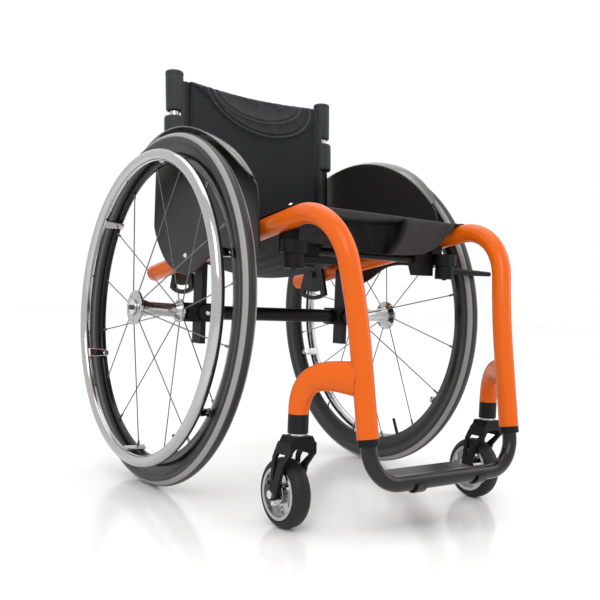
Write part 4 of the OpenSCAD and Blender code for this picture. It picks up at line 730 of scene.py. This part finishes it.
sleeve_cloth = woven("sleeve_cloth", ((0.020, 0.021, 0.023), (0.032, 0.033, 0.035)), 0.0011, (0.5, 0.65),
                     6e-5, {"Specular IOR Level": 0.3})
sleeve_top = rounded(np.array(((0.0098, 0.2240), (0.0152, 0.2240), (0.0158, 0.2600), (0.0160, 0.2865),
                               (0.0155, 0.2880), (0.0166, 0.2896), (0.0160, 0.2962), (0.0, 0.2966),
                               (0.0, 0.2935), (0.0098, 0.2925))), 0.0035)
sleeve_low = rounded(np.array(((0.0116, 0.1590), (0.0176, 0.1590), (0.0186, 0.1660), (0.0186, 0.2070),
                               (0.0178, 0.2140), (0.0116, 0.2140))), 0.003)
# Painted shade: the web and the sleeves' inner flanks are darkened, as the shadow in the gap beside the
# panel.
tinted(sleeve_cloth, "web_painted_shade", (0.006, 0.0063, 0.008))
web_in, web_out, web_low, web_high, web_half, web_ahead = 0.130, 0.158, 0.030, 0.279, 0.001, 0.0105
web_wave, web_waves, dark_to, dark_fade = 0.0005, 35, 0.1505, 0.001
web_u, web_u_edge = edge_shares(web_out - web_in, web_half, 12)
web_v, web_v_edge = edge_shares(web_high - web_low, web_half, 80)
for name, side in sides:
    post = back_pivot + 0.165 * side * outward
    patches = [(lathe(profile, post, back_up, 64), True, True) for profile in (sleeve_top, sleeve_low)]
    web_x, web_z = np.meshgrid(side * (web_in + (web_out - web_in) * web_u),
                               web_low + (web_high - web_low) * web_v)
    web_y = -web_ahead + web_wave * np.sin(2 * np.pi * web_waves * web_v[:, None]) * np.sin(np.pi * web_u)
    patches += slab(on_back(web_x, web_y, web_z), back_rear, web_half * web_v_edge[:, None] * web_u_edge)
    piece = skin("back_sleeves_" + name, patches, "backrest", sleeve_cloth, sharp=50)
    # Painted shade on the web and the sleeves' inner flanks, fading out over a millimetre.
    keep(piece, "web_painted_shade", np.clip((dark_to - np.abs(places(piece.data)[:, 0])) / dark_fade, 0, 1))

# Seat: coated black cloth lies over both rails and sags between them; at the front it turns over a hem and
# hangs as a flap, half of which tucks in behind a deep slanting fold. The hem and the open half of the flap
# are grey; the tucked half is left black as painted shade.
seat_cloth = woven("seat_cloth", ((0.0028, 0.0028, 0.0032), (0.0045, 0.0045, 0.005)), 0.0012, (0.50, 0.60),
                   1e-5, {"Specular IOR Level": 0.10})
# Grey of the hem and flap, held back from the tucked half as painted shade; the sling gets a little grey.
tinted(seat_cloth, "grey_and_tuck_shade", (0.034, 0.033, 0.032))
rail_x, seat_lift, wrap, seat_t, seat_front, seat_back = 0.165, 0.0154, np.radians(22), 0.003, -0.306, 0.050
rest_x, reach_x = rail_x - seat_lift * np.sin(wrap), rail_x + seat_lift * np.sin(wrap)
fold_x, fold_slide, fold_deep, fold_w = 0.040, 0.030, 0.016, 0.0035
crowd_half, crowd_gap = 0.0045, 0.006
seat_xs = np.concatenate((np.linspace(-reach_x, fold_x - crowd_gap, 106),
                          fold_x + np.linspace(-crowd_half, crowd_half, 7),
                          np.linspace(fold_x + crowd_gap, reach_x, 66)))
seat_ys = np.linspace(seat_back, seat_front, 96)[:, None]
seat_v = (seat_ys - seat_front) / (seat_back - seat_front)
seat_sag, ripple_h, ripple_rate, drift, drift_rate = 0.034, 0.0006, 190, 3, 21
bed = seat_sag * (1 - (1 - seat_v) ** 2) * np.maximum(1 - (seat_xs / rest_x) ** 2, 0)
over_rail = np.sqrt(seat_lift ** 2 - np.clip(np.abs(seat_xs) - rail_x, -seat_lift * np.sin(wrap), None) ** 2)
ripple = ripple_h * np.sin(seat_xs * ripple_rate + drift * np.sin(seat_ys * drift_rate))
ripple = ripple * np.sin(np.pi * seat_v) * (bed > 0)
seat_h = (over_rail - bed + ripple + seat_t / 2) / np.cos(rail_slope)
rail_rise = rail_rear[2] + (rail_rear[1] - axle[1] - seat_ys) * np.tan(rail_slope)
sling_points = np.stack(np.broadcast_arrays(seat_xs, seat_ys, rail_rise + seat_h), -1)
flap_half, flap_drop = 0.1460, 0.066


def ramp_up(share):
    """A smooth rise from 0 to 1."""
    share = np.clip(share, 0, 1)
    return share * share * (3 - 2 * share)


hang = np.maximum(0, 1 - np.abs(seat_xs / flap_half) ** 4.5)
flap_w = np.linspace(0, 1, 44)[1:, None]
flap_ds = (flap_drop * hang + 0.007 * (1 - np.minimum(1, 3 * hang))) / 43
turned = ramp_up(flap_w / 0.2)
lean = np.pi / 2 * np.minimum(1, 3 * hang) * turned - rail_slope * (1 - turned)
fold_by = fold_x - seat_xs
past = np.maximum(fold_by, 0)
hem_w = 0.07 + 0.2 * (1 - np.exp(-past / 0.08))
tucked = 0.45 + 0.55 * np.exp(-past / 0.05)
tuck = ramp_up((flap_w - hem_w) / 0.16) * ramp_up(fold_by / fold_w) * tucked * hang
crease_rate, crease_h, belly_h = 165, 0.0018, 0.003
crumple = np.sin(crease_rate * (fold_by + 0.05 * flap_w)) * ramp_up(fold_by / 0.02) * np.exp(-past / 0.07)
crumple = crumple * ramp_up(flap_w / 0.3) * hang
belly = np.exp(-((fold_by + 0.009) / 0.012) ** 2) * ramp_up(flap_w / 0.3) * hang
slide = fold_slide * np.clip((flap_w - 0.15) / 0.85, 0, 1) ** 2 * np.exp(-(fold_by / 0.055) ** 2)
flap_y = (seat_front - np.cumsum(np.cos(lean) * flap_ds, 0) + fold_deep * tuck + crease_h * crumple
          - belly_h * belly)
flap_z = sling_points[-1, :, 2] - np.cumsum(np.sin(lean) * flap_ds, 0)
flap_points = np.stack(np.broadcast_arrays(seat_xs - slide, flap_y, flap_z), -1)
seat_points = np.concatenate((sling_points, flap_points)) + np.array((0, axle[1], 0))
seat = skin("seat_cloth", [(seat_points, False, False)], "chassis", seat_cloth, sharp=80)
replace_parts(seat, "seat_sling")
# Grey share: full on the hem and the open half, none on the tucked half below the hem, as painted shade.
grey_and_tuck_shade = ramp_up(flap_w / 0.06) * (1 - ramp_up(fold_by / fold_w) * ramp_up((flap_w - hem_w) / 0.1))
keep(seat, "grey_and_tuck_shade", np.concatenate((0.1 + 0 * sling_points[:, :, 0], grey_and_tuck_shade)).ravel())
shell = seat.modifiers.new("thickness", "SOLIDIFY")
shell.thickness, shell.offset = seat_t, 0
seat.modifiers.new("smooth", "SUBSURF").render_levels = 1

# Studio: a plain pale floor, a bright soft sky and three large soft lamps.
floor_mesh = bpy.data.meshes.new("floor")
reach = 12.0
floor_mesh.from_pydata([(-reach, -reach, 0), (reach, -reach, 0), (reach, reach, 0), (-reach, reach, 0)], [],
                       [(0, 1, 2, 3)])
floor = bpy.data.objects.new("floor", floor_mesh)
bpy.context.scene.collection.objects.link(floor)
pale_floor = finish("pale_floor", ((0.926, 0.926, 0.926), (0.932, 0.932, 0.932)), 0.4, (0.165, 0.175))
floor_mesh.materials.append(pale_floor)
world = bpy.data.worlds.new("studio")
bpy.context.scene.world = world
world.use_nodes = True
sky = world.node_tree.nodes["Background"]
sky.inputs["Color"].default_value = (1, 1, 1, 1)
sky.inputs["Strength"].default_value = 1.0
lamps = (("key", (-1.8, -2.2, 2.6), (2.0, 2.0), 40), ("side", (2.6, -1.2, 1.8), (1.6, 2.2), 14),
         ("top", (0.2, 0.6, 3.0), (2.4, 2.4), 24))
aim = np.array((0, 0, 0.35))
for name, place, size, power in lamps:
    light = bpy.data.lights.new(name, "AREA")
    light.shape = "RECTANGLE"
    light.size, light.size_y = size
    light.energy = power
    lamp = bpy.data.objects.new(name, light)
    bpy.context.scene.collection.objects.link(lamp)
    back = np.array(place) - aim
    back /= np.linalg.norm(back)
    right_way = np.cross((0, 0, 1.0), back)
    right_way /= np.linalg.norm(right_way)
    lamp_axes = np.column_stack((right_way, np.cross(back, right_way), back, place))
    lamp.matrix_world = Matrix(np.vstack((lamp_axes, (0, 0, 0, 1))).tolist())
bpy.context.scene.view_settings.view_transform = "Standard"
